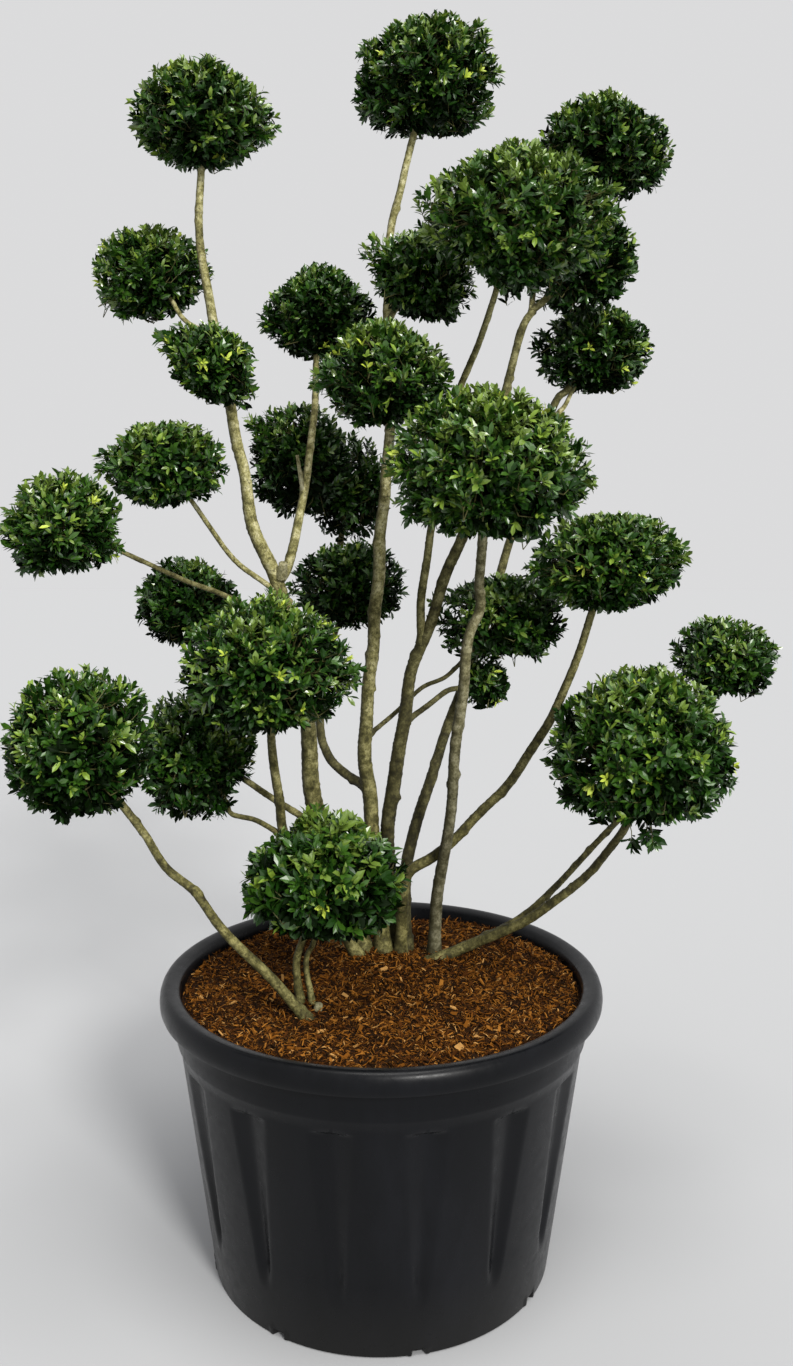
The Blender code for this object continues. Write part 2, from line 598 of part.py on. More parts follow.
def in_own_space(point, name, runs):
    """Whether a point stays in its cloud, nearer to it than to any other, off the limbs."""
    own = cloud_share(point, name)
    if own > 1.0:
        return False
    for other in CLOUDS:
        if other != name and cloud_share(point, other) < own + NEIGHBOUR_MARGIN:
            return False
    return not near_limb(point, runs)


def leaf_corners(root, along, face, length):
    """The six corners of a leaf: root, tip, two sides, and the ridge above and below."""
    across = along.cross(face).normalized()
    up = across.cross(along).normalized()
    waist = root + along * length * LEAF_WAIST
    half_width = length * LEAF_WIDTH / 2.0
    half_thickness = length * LEAF_THICKNESS / 2.0
    return [root, root + along * length, waist + across * half_width,
            waist - across * half_width, waist + up * half_thickness,
            waist - up * half_thickness]


def leaf(name, corners):
    """A thin pointed leaf of eight faces."""
    builder = bmesh.new()
    root, tip, right, left, top, under = [builder.verts.new(c) for c in corners]
    for a, b in ((right, top), (top, left), (left, under), (under, right)):
        builder.faces.new((root, a, b))
        builder.faces.new((tip, b, a))
    return add_object(name, builder)


def sprig(name, start, root, corners):
    """A three-sided twig that ends in a leaf, as one closed piece."""
    tip, right, left, top, under = corners[1:]
    along = (root - start).normalized()
    up = (top - under).normalized()
    across = along.cross(up)
    builder = bmesh.new()
    rings = []
    for point, radius in ((start, TWIG_RADIUS), (root, TWIG_RADIUS * TWIG_TAPER)):
        ring = []
        for k in range(3):
            turn = 2.0 * math.pi * k / 3.0 + math.pi / 2.0
            offset = across * math.cos(turn) + up * math.sin(turn)
            ring.append(builder.verts.new(point + offset * radius))
        rings.append(ring)
    bridge_rings(builder, rings)
    builder.faces.new(rings[0])
    crest, one_side, other_side = rings[1]
    if (one_side.co - right).length > (one_side.co - left).length:
        right, left = left, right
    tip, right, left, top, under = [builder.verts.new(c) for c in (tip, right, left, top, under)]
    for a, b, c in ((crest, right, top), (crest, top, left), (crest, one_side, right),
                    (crest, left, other_side), (one_side, under, right),
                    (other_side, left, under), (one_side, other_side, under),
                    (tip, top, right), (tip, left, top), (tip, under, left),
                    (tip, right, under)):
        builder.faces.new((a, b, c))
    return add_object(name, builder)


def build_core(name, material, rng):
    """The dense heart of a cloud: a lumpy closed ball inside its outline."""
    builder = bmesh.new()
    bmesh.ops.create_icosphere(builder, subdivisions=2, radius=1.0)
    for vert in builder.verts:
        share = CORE_SHARE * (1.0 + rng.uniform(-CORE_LUMPS, CORE_LUMPS))
        vert.co = cloud_point(name, vert.co, share)
    return add_object(name, builder, material)


def even_directions(count, rng):
    """Directions spread evenly over a ball, each shifted a little."""
    directions = []
    for k in range(count):
        z = 1.0 - (2.0 * k + 1.0) / count
        turn = k * GOLDEN_ANGLE + rng.uniform(-DIRECTION_SHIFT, DIRECTION_SHIFT)
        flat = math.sqrt(1.0 - z * z)
        directions.append(Vector((flat * math.cos(turn), flat * math.sin(turn), z)))
    return directions


def grow_leaf(name, direction, index, runs, rng):
    """One leaf from the core to the outline; every third ends a twig from the heart."""
    length = LEAF_LENGTH + LEAF_LENGTH_GROWTH * CLOUDS[name][1][0]
    on_twig = index % TWIG_EVERY == 0
    tip = cloud_point(name, direction, LEAF_REACH)
    start = cloud_point(name, direction, TWIG_START)
    along = (tip - start).normalized()
    side = along.orthogonal().normalized()
    across = along.cross(side)
    turn = rng.uniform(0.0, 2.0 * math.pi)
    tilt = rng.uniform(*(TWIG_LEAF_TILT if on_twig else LEAF_TILT))
    out = side * math.cos(turn) + across * math.sin(turn)
    heading = along * math.cos(tilt) + out * math.sin(tilt)
    root = tip - heading * length
    corners = leaf_corners(root, heading, along, length)
    if cloud_share(root, name) > LEAF_ROOT_SHARE:
        return []
    if not all(in_own_space(corner, name, runs) for corner in corners):
        return []
    if on_twig:
        return [sprig(f"{name}_sprig_{index}", start, root, corners)]
    return [leaf(f"{name}_leaf_{index}", corners)]


def grow_stems(name):
    """A short stem from each bough's tip up to the heart of the cloud."""
    stems = []
    for limb_name, limb in LIMBS.items():
        if limb["cloud"] != name:
            continue
        points, radii = limb_line(limb_name)
        along = (points[-1] - points[-2]).normalized()
        start = points[-1] + along * CLEARANCE
        heart = cloud_heart(name)
        end = start + along * (heart - start).length * CLOUD_STEM_SHARE
        stem_radii = [radii[-1], radii[-1] * CLOUD_STEM_TAPER]
        stems.append(tube(f"{name}_{limb_name}", [start, end], stem_radii))
    return stems


def join_mass(core, pieces):
    """Fuse the pieces into the core as one closed body."""
    group = bpy.data.collections.new(core.name + "_pieces")
    bpy.context.scene.collection.children.link(group)
    for piece in pieces:
        bpy.context.scene.collection.objects.unlink(piece)
        group.objects.link(piece)
    modifier = core.modifiers.new("join", "BOOLEAN")
    modifier.operation = "UNION"
    modifier.operand_type = "COLLECTION"
    modifier.collection = group
    modifier.solver = "EXACT"
    apply_modifier(core, modifier)
    for piece in pieces:
        bpy.data.objects.remove(piece, do_unlink=True)
    bpy.data.collections.remove(group)


def build_cloud(name, material, runs):
    """One clipped cloud: core, stems, and sprays of leaves standing out of it."""
    halves = CLOUDS[name][1]
    rng = random.Random(FIRST_SEED + sorted(CLOUDS).index(name))
    core = build_core(name, material, rng)
    area = 4.0 * math.pi * (halves[0] * halves[1] + halves[0] * halves[2]
                            + halves[1] * halves[2]) / 3.0
    pieces = grow_stems(name)
    for index, direction in enumerate(even_directions(round(area * LEAVES_PER_AREA), rng)):
        pieces += grow_leaf(name, direction, index, runs, rng)
    join_mass(core, pieces)
    return core


def main():
    """Build the pot, its mulch, every limb and every cloud."""
    clear_scene()
    materials = {name: make_material(name) for name in FINISHES}
    build_pot(materials["plastic"])
    build_mulch(materials["mulch"])
    for name in LIMBS:
        build_limb(name, materials["bark"])
    runs = limb_paths()
    for name in CLOUDS:
        build_cloud(name, materials["leaves"], runs)


main()
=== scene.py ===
import math

import bpy
import numpy as np
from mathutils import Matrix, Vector


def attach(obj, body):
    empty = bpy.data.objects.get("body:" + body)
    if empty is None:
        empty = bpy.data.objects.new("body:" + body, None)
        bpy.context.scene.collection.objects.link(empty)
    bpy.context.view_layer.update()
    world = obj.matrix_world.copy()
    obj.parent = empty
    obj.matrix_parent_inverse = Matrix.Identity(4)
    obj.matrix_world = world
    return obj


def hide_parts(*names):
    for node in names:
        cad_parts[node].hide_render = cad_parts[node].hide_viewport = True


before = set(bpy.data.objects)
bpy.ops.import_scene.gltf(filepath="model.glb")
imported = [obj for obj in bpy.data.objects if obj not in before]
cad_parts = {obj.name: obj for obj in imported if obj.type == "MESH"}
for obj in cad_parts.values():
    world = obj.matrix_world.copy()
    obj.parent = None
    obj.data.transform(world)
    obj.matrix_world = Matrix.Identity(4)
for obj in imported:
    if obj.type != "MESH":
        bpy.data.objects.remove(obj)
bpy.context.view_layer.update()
goldenAngle = math.pi * (3 - math.sqrt(5))


# small helpers

def toLinear(code):
    # sRGB hex to the linear colour that sockets take
    values = [int(code[i:i + 2], 16) / 255 for i in (1, 3, 5)]
    return [v / 12.92 if v <= 0.04045 else ((v + 0.055) / 1.055) ** 2.4 for v in values] + [1.0]


def addNode(tree, kind, inputs=None, stops=(), **settings):
    # stops: places and hex codes along a colour ramp
    made = tree.nodes.new("ShaderNode" + kind)
    for key, value in settings.items():
        setattr(made, key, value)
    for socket, value in (inputs or {}).items():
        if isinstance(value, bpy.types.NodeSocket):
            tree.links.new(value, made.inputs[socket])
        else:
            made.inputs[socket].default_value = value
    if stops:
        while len(made.color_ramp.elements) < len(stops):
            made.color_ramp.elements.new(0.5)
        for element, (at, code) in zip(made.color_ramp.elements, stops):
            element.position = at
            element.color = toLinear(code)
    return made


def newMaterial(name):
    material = bpy.data.materials.new(name)
    material.use_nodes = True
    material.node_tree.nodes.clear()
    return material, material.node_tree


def finishMaterial(material, sockets):
    skin = addNode(material.node_tree, "BsdfPrincipled", sockets)
    addNode(material.node_tree, "OutputMaterial", {"Surface": skin.outputs[0]})
    return material


def unit(vectors):
    return vectors / np.maximum(np.linalg.norm(vectors, axis=-1, keepdims=True), 1e-9)


def fullTurn(count):
    return np.arange(count) * 2 * math.pi / count


def around(side, across, turn):
    # the direction at each turn, from side by way of across
    return side * np.cos(turn) + across * np.sin(turn)


def buildMesh(name, points, faces, materials, faceMaterial=None, smooth=False):
    # faces all have the same number of corners
    mesh = bpy.data.meshes.new(name)
    mesh.vertices.add(len(points))
    mesh.vertices.foreach_set("co", np.ascontiguousarray(points, np.float32).ravel())
    mesh.loops.add(faces.size)
    mesh.loops.foreach_set("vertex_index", np.ascontiguousarray(faces, np.int32).ravel())
    mesh.polygons.add(len(faces))
    mesh.polygons.foreach_set("loop_start", np.arange(0, faces.size, faces.shape[1], dtype=np.int32))
    if faceMaterial is not None:
        mesh.polygons.foreach_set("material_index", np.ascontiguousarray(faceMaterial, np.int32))
    mesh.polygons.foreach_set("use_smooth", np.full(len(faces), smooth))
    mesh.update(calc_edges=True)
    mesh.validate()
    for material in materials:
        mesh.materials.append(material)
    made = bpy.data.objects.new(name, mesh)
    bpy.context.scene.collection.objects.link(made)
    return made


def gridFaces(rows, columns):
    # quads between rows of a sheet that closes on itself across its columns
    row, column = np.meshgrid(np.arange(rows - 1), np.arange(columns), indexing="ij")
    after = (column + 1) % columns
    corners = [row * columns + column, row * columns + after,
               (row + 1) * columns + after, (row + 1) * columns + column]
    return np.stack(corners, -1).reshape(-1, 4)


def joinPieces(groups):
    # groups of small pieces, each with its pattern of faces, as points and faces of one mesh
    points, faces, start = [], [], 0
    for pieces, pattern in groups:
        count, corners = pieces.shape[:2]
        points.append(pieces.reshape(-1, 3))
        dealt = np.arange(count)[:, None, None] * corners + pattern + start
        faces.append(dealt.reshape(-1, pattern.shape[1]))
        start += count * corners
    return np.concatenate(points), np.concatenate(faces)


def place(piece, slotName, *nodes):
    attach(piece, "root")
    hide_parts(*nodes)


# pot: moulded black polypropylene, satin, a little scuffed

potShape = {
    "segments": 480,
    "baseRadius": 0.294, "wallTopRadius": 0.357, "collarFoot": 0.398,
    # radius and height from the collar over the rolled lip and down inside
    "lip": ((0.3610, 0.398), (0.3622, 0.402), (0.3630, 0.420), (0.3642, 0.440), (0.3660, 0.4475),
            (0.3720, 0.4488), (0.3840, 0.4494), (0.3884, 0.4512), (0.3905, 0.4560), (0.3914, 0.4640),
            (0.3908, 0.4720), (0.3888, 0.4790), (0.3858, 0.4840), (0.3820, 0.4868), (0.3780, 0.4875),
            (0.3720, 0.4868), (0.3640, 0.4850), (0.3590, 0.4825), (0.3560, 0.4780), (0.3530, 0.4600),
            (0.3500, 0.4300)),
    "flutes": 15, "fluteDepth": 0.0088, "fluteHalfTop": 6.1, "fluteHalfFoot": 2.0,
    "fluteTop": 0.378, "fluteTopRun": 0.006, "fluteFoot": 0.078, "fluteFootRun": 0.045,
    "drains": 8, "firstDrain": 12.0, "drainHalf": 2.2, "drainHeight": 0.011, "drainDepth": 0.009,
    "frameWidth": 0.9, "frameHeight": 0.014, "frameSwell": 0.0016, "sharpFrom": 38.0,
}


def potPlastic():
    # near-black plastic: a soft grey sheen, duller and dustier towards the floor
    material, tree = newMaterial("black_polypropylene")
    where = addNode(tree, "TexCoord").outputs["Object"]
    stretched = addNode(tree, "Mapping", {"Vector": where, "Scale": (1.0, 1.0, 0.25)})
    blotches = addNode(tree, "TexNoise", {"Vector": stretched.outputs[0], "Scale": 9.0, "Detail": 5.0,
                                          "Roughness": 0.6})
    colour = addNode(tree, "ValToRGB", {"Fac": blotches.outputs["Fac"]},
                     ((0.30, "#060709"), (0.55, "#0a0b0e"), (0.80, "#121317")))
    height = addNode(tree, "SeparateXYZ", {0: where}).outputs["Z"]
    dust = addNode(tree, "MapRange", {"Value": height, "From Min": 0.0, "From Max": 0.12,
                                      "To Min": 0.22, "To Max": 0.0})
    dusty = addNode(tree, "Mix", {0: dust.outputs[0], 6: colour.outputs[0], 7: toLinear("#302f2c")},
                    data_type="RGBA")
    scuffs = addNode(tree, "TexNoise", {"Vector": where, "Scale": 55.0, "Detail": 8.0, "Roughness": 0.7})
    rough = addNode(tree, "MapRange", {"Value": scuffs.outputs["Fac"], "From Min": 0.35, "From Max": 0.70,
                                       "To Min": 0.25, "To Max": 0.42})
    grain = addNode(tree, "TexNoise", {"Vector": where, "Scale": 700.0, "Detail": 2.0})
    bump = addNode(tree, "Bump", {"Height": grain.outputs["Fac"], "Strength": 0.10, "Distance": 0.0006})
    return finishMaterial(material, {"Base Color": dusty.outputs[2], "Roughness": rough.outputs[0],
                                     "Normal": bump.outputs[0], "Specular IOR Level": 0.17})


def buildPot():
    s = potShape
    foot = [0.0, 0.002, 0.0105, 0.0115, 0.016, 0.024]
    top = [0.368, 0.3715, 0.3745, 0.377, 0.3785, 0.386]
    profile = [(s["baseRadius"] * 0.2, 0.0), (s["baseRadius"] - 0.016, 0.0),
               (s["baseRadius"] - 0.004, 0.0)]
    for z in foot + list(np.arange(0.032, 0.366, 0.008)) + top:
        radius = s["baseRadius"] + (s["wallTopRadius"] - s["baseRadius"]) * z / s["collarFoot"]
        profile.append((radius - (0.0015 if z == 0 else 0.0), max(z, 0.0008)))
    profile += s["lip"]
    radius = np.array([p[0] for p in profile])[:, None]
    height = np.array([p[1] for p in profile])[:, None]
    angle = fullTurn(s["segments"])
    fromFront = np.degrees(angle) + 90.0
    onWall = (np.arange(len(profile)) >= 3)[:, None] & (height < s["collarFoot"])

    period = 360.0 / s["flutes"]
    offset = np.abs((fromFront + period) % period - period / 2)
    rise = np.clip((height - s["fluteFoot"]) / (s["fluteTop"] - s["fluteFoot"]), 0, 1)
    half = s["fluteHalfFoot"] + (s["fluteHalfTop"] - s["fluteHalfFoot"]) * rise
    groove = np.clip((1.03 - np.sqrt((offset / half) ** 2 + 0.05)) / 0.80, 0, 1)
    fadeIn = np.clip((height - s["fluteFoot"]) / s["fluteFootRun"], 0, 1)
    fadeOut = np.clip((s["fluteTop"] - height) / s["fluteTopRun"], 0, 1)
    cut = s["fluteDepth"] * groove * (fadeIn ** 2 * (3 - 2 * fadeIn)) * fadeOut * onWall

    drainPeriod = 360.0 / s["drains"]
    fromDrain = np.abs((fromFront - s["firstDrain"] + drainPeriod / 2) % drainPeriod - drainPeriod / 2)
    cut = cut + s["drainDepth"] * ((fromDrain < s["drainHalf"]) & (height < s["drainHeight"]))
    framed = (fromDrain >= s["drainHalf"]) & (fromDrain < s["drainHalf"] + s["frameWidth"])
    cut = cut - s["frameSwell"] * (framed & (height < s["frameHeight"]) & onWall)

    out = radius - cut
    points = np.stack([out * np.cos(angle), out * np.sin(angle), height + 0 * out], -1).reshape(-1, 3)
    faces = gridFaces(len(profile), s["segments"])
    piece = buildMesh("pot_shell", points, faces, [potPlastic()], smooth=True)
    piece.data.set_sharp_from_angle(angle=math.radians(s["sharpFrom"]))
    place(piece, "plastic", "pot")


# mulch: shredded bark and coir, settled unevenly

mulchShape = {
    "level": 0.470, "radius": 0.353, "rings": 64, "segments": 200,
    "dips": ((0.060, 0.245, 0.030, 0.080, 0.026), (0.250, -0.020, 0.090, 0.070, 0.004),
             (-0.230, 0.120, 0.080, 0.080, 0.005)),      # middle, spread and depth
    "mounds": ((0.020, 0.080, 0.110, 0.045, 0.006), (-0.130, -0.090, 0.060, 0.050, 0.004),
               (0.060, -0.230, 0.160, 0.070, 0.003)),
    # how many, their length, width and thickness against it, tilt
    "chips": (3200, (0.005, 0.016), (0.22, 0.50), (0.08, 0.22), 0.30),
    "flakes": (16, (0.018, 0.034), (0.25, 0.45), (0.06, 0.12), 0.16),
    "fibres": (22000, (0.005, 0.016), (0.0008, 0.0024), 0.38),      # width in metres, no thickness
    "frontFlake": (-0.062, -0.081),      # one of the flakes lies by the front shoots
    "edgeMargin": 0.004, "wallGap": 0.0015, "ceiling": 0.4868, "seed": 5,
    "tones": ("#1e1003", "#432406", "#6b400f", "#8b5a20", "#ab8048"),
    "toneShares": (0.22, 0.30, 0.29, 0.15, 0.04), "flakeShares": (0.0, 0.0, 0.2, 0.4, 0.4),
}
# a shard: its corners along, across and up, and its six faces
shardCorners = [(a, b, c) for a in (-1, 1) for b, c in ((-1, -1), (1, -1), (1, 1), (-1, 1))]
shardFaces = np.array([(0, 3, 2, 1), (4, 5, 6, 7), (0, 1, 5, 4), (1, 2, 6, 5), (2, 3, 7, 6), (3, 0, 4, 7)])
fibreFaces = np.array([(0, 1, 3, 2), (2, 3, 5, 4)])


def mulchHeight(x, y):
    s = mulchShape
    z = np.full(np.shape(x), s["level"])
    for sign, places in ((-1, s["dips"]), (1, s["mounds"])):
        for px, py, sx, sy, amount in places:
            z = z + sign * amount * np.exp(-((x - px) / sx) ** 2 - ((y - py) / sy) ** 2)
    z = z + 0.0022 * np.sin(31 * x + 1.0) * np.cos(27 * y) + 0.0014 * np.sin(73 * x + 49 * y)
    edge = np.clip((np.hypot(x, y) - 0.318) / 0.035, 0, 1)
    return z - 0.008 * edge ** 2


def mulchBed():
    # damp fines under the chips
    material, tree = newMaterial("damp_bark_fines")
    where = addNode(tree, "TexCoord").outputs["Object"]
    crumbs = addNode(tree, "TexNoise", {"Vector": where, "Scale": 260.0, "Detail": 6.0, "Roughness": 0.7})
    colour = addNode(tree, "ValToRGB", {"Fac": crumbs.outputs["Fac"]},
                     ((0.30, "#0f0803"), (0.52, "#291606"), (0.75, "#52300f")))
    bump = addNode(tree, "Bump", {"Height": crumbs.outputs["Fac"], "Strength": 0.9, "Distance": 0.004})
    return finishMaterial(material, {"Base Color": colour.outputs[0], "Roughness": 0.95,
                                     "Normal": bump.outputs[0], "Specular IOR Level": 0.1})


def plainMaterial(name, code, roughness, specular):
    return finishMaterial(newMaterial(name)[0], {"Base Color": toLinear(code), "Roughness": roughness,
                                                 "Specular IOR Level": specular})


def scatterPlaces(count, rng):
    angle = rng.uniform(0, 2 * math.pi, count)
    radius = (mulchShape["radius"] - mulchShape["edgeMargin"]) * np.sqrt(rng.uniform(0, 1, count))
    return radius * np.cos(angle), radius * np.sin(angle)


def heading(turn, lean):
    return np.stack([np.cos(turn) * np.cos(lean), np.sin(turn) * np.cos(lean), np.sin(lean)], -1)


def insidePot(pieces):
    # only what stays off the wall and under the rim
    s = mulchShape
    inside = np.hypot(pieces[..., 0], pieces[..., 1]).max(1) < s["radius"] - s["wallGap"]
    return pieces[inside & (pieces[..., 2].max(1) < s["ceiling"])]


def scatterShards(count, lengths, widthShare, thickShare, tilt, rng):
    # wedge-shaped shards lying on the bed
    x, y = scatterPlaces(count, rng)
    length = lengths[0] * (lengths[1] / lengths[0]) ** rng.uniform(0, 1, count)
    width = length * rng.uniform(*widthShare, count)
    thick = length * rng.uniform(*thickShare, count)
    lean = rng.normal(0, tilt, count)
    along = heading(rng.uniform(0, 2 * math.pi, count), lean)
    roll = rng.normal(0, 0.5, count)
    side = unit(np.cross(np.array([0, 0, 1.0]) + 0 * along, along))
    up = np.cross(along, side)
    side, up = around(side, up, roll[:, None]), around(up, -side, roll[:, None])
    lift = np.abs(np.sin(lean)) * length * 0.38 + thick * 0.35 + rng.uniform(-0.001, 0.0025, count)
    middle = np.stack([x, y, mulchHeight(x, y) + lift], -1)
    corners = []
    for a, b, c in shardCorners:
        wobble = rng.uniform(0.55, 1.0, (3, count))
        corners.append(middle + along * (a * length * wobble[0] / 2)[:, None]
                       + side * (b * width * wobble[1] / 2)[:, None]
                       + up * (c * thick * wobble[2] / 2)[:, None])
    return insidePot(np.stack(corners, 1))


def scatterFibres(count, lengths, widths, tilt, rng):
    # flat shreds of two faces, bent in the middle
    x, y = scatterPlaces(count, rng)
    length = rng.uniform(*lengths, count)
    width = rng.uniform(*widths, count)
    lean = np.abs(rng.normal(0.12, tilt, count))
    along = heading(rng.uniform(0, 2 * math.pi, count), lean)
    side = unit(np.cross(np.array([0, 0, 1.0]) + 0 * along, along) + rng.normal(0, 0.4, (count, 3)))
    start = np.stack([x, y, mulchHeight(x, y) + rng.uniform(0.0, 0.003, count)], -1)
    bend = start + along * (length * 0.55)[:, None]
    end = bend + (along - np.array([0, 0, 0.35])) * (length * 0.45)[:, None]
    half = side * (width / 2)[:, None]
    return insidePot(np.stack([start - half, start + half, bend - half, bend + half,
                               end - half * 0.4, end + half * 0.4], 1))


def buildMulch():
    s = mulchShape
    rng = np.random.default_rng(s["seed"])
    radius = s["radius"] * np.linspace(0.004, 1, s["rings"])[:, None]
    angle = fullTurn(s["segments"])
    x, y = radius * np.cos(angle), radius * np.sin(angle)
    z = mulchHeight(x, y) + rng.normal(0, 0.0009, x.shape)
    bed = buildMesh("mulch_bed", np.stack([x, y, z], -1).reshape(-1, 3),
                    gridFaces(s["rings"], s["segments"]), [mulchBed()], smooth=True)
    place(bed, "mulch", "bark_mulch")
    tones = [plainMaterial(f"bark_shred_{i}", code, 0.90, 0.1) for i, code in enumerate(s["tones"])]
    chips, flakes = scatterShards(*s["chips"], rng), scatterShards(*s["flakes"], rng)
    fibres = scatterFibres(*s["fibres"], rng)
    spot = np.array(s["frontFlake"])
    flakes[0] += np.array([*spot, mulchHeight(*spot) + 0.007]) - flakes[0].mean(0)
    groups = [(chips, shardFaces), (flakes, shardFaces), (fibres, fibreFaces)]
    shares = (s["toneShares"], s["flakeShares"], s["toneShares"])
    dealt = [np.repeat(rng.choice(len(tones), len(pieces), p=share), len(pattern))
             for (pieces, pattern), share in zip(groups, shares)]
    piece = buildMesh("mulch_chips", *joinPieces(groups), tones, np.concatenate(dealt))
    place(piece, "mulch", "bark_mulch")
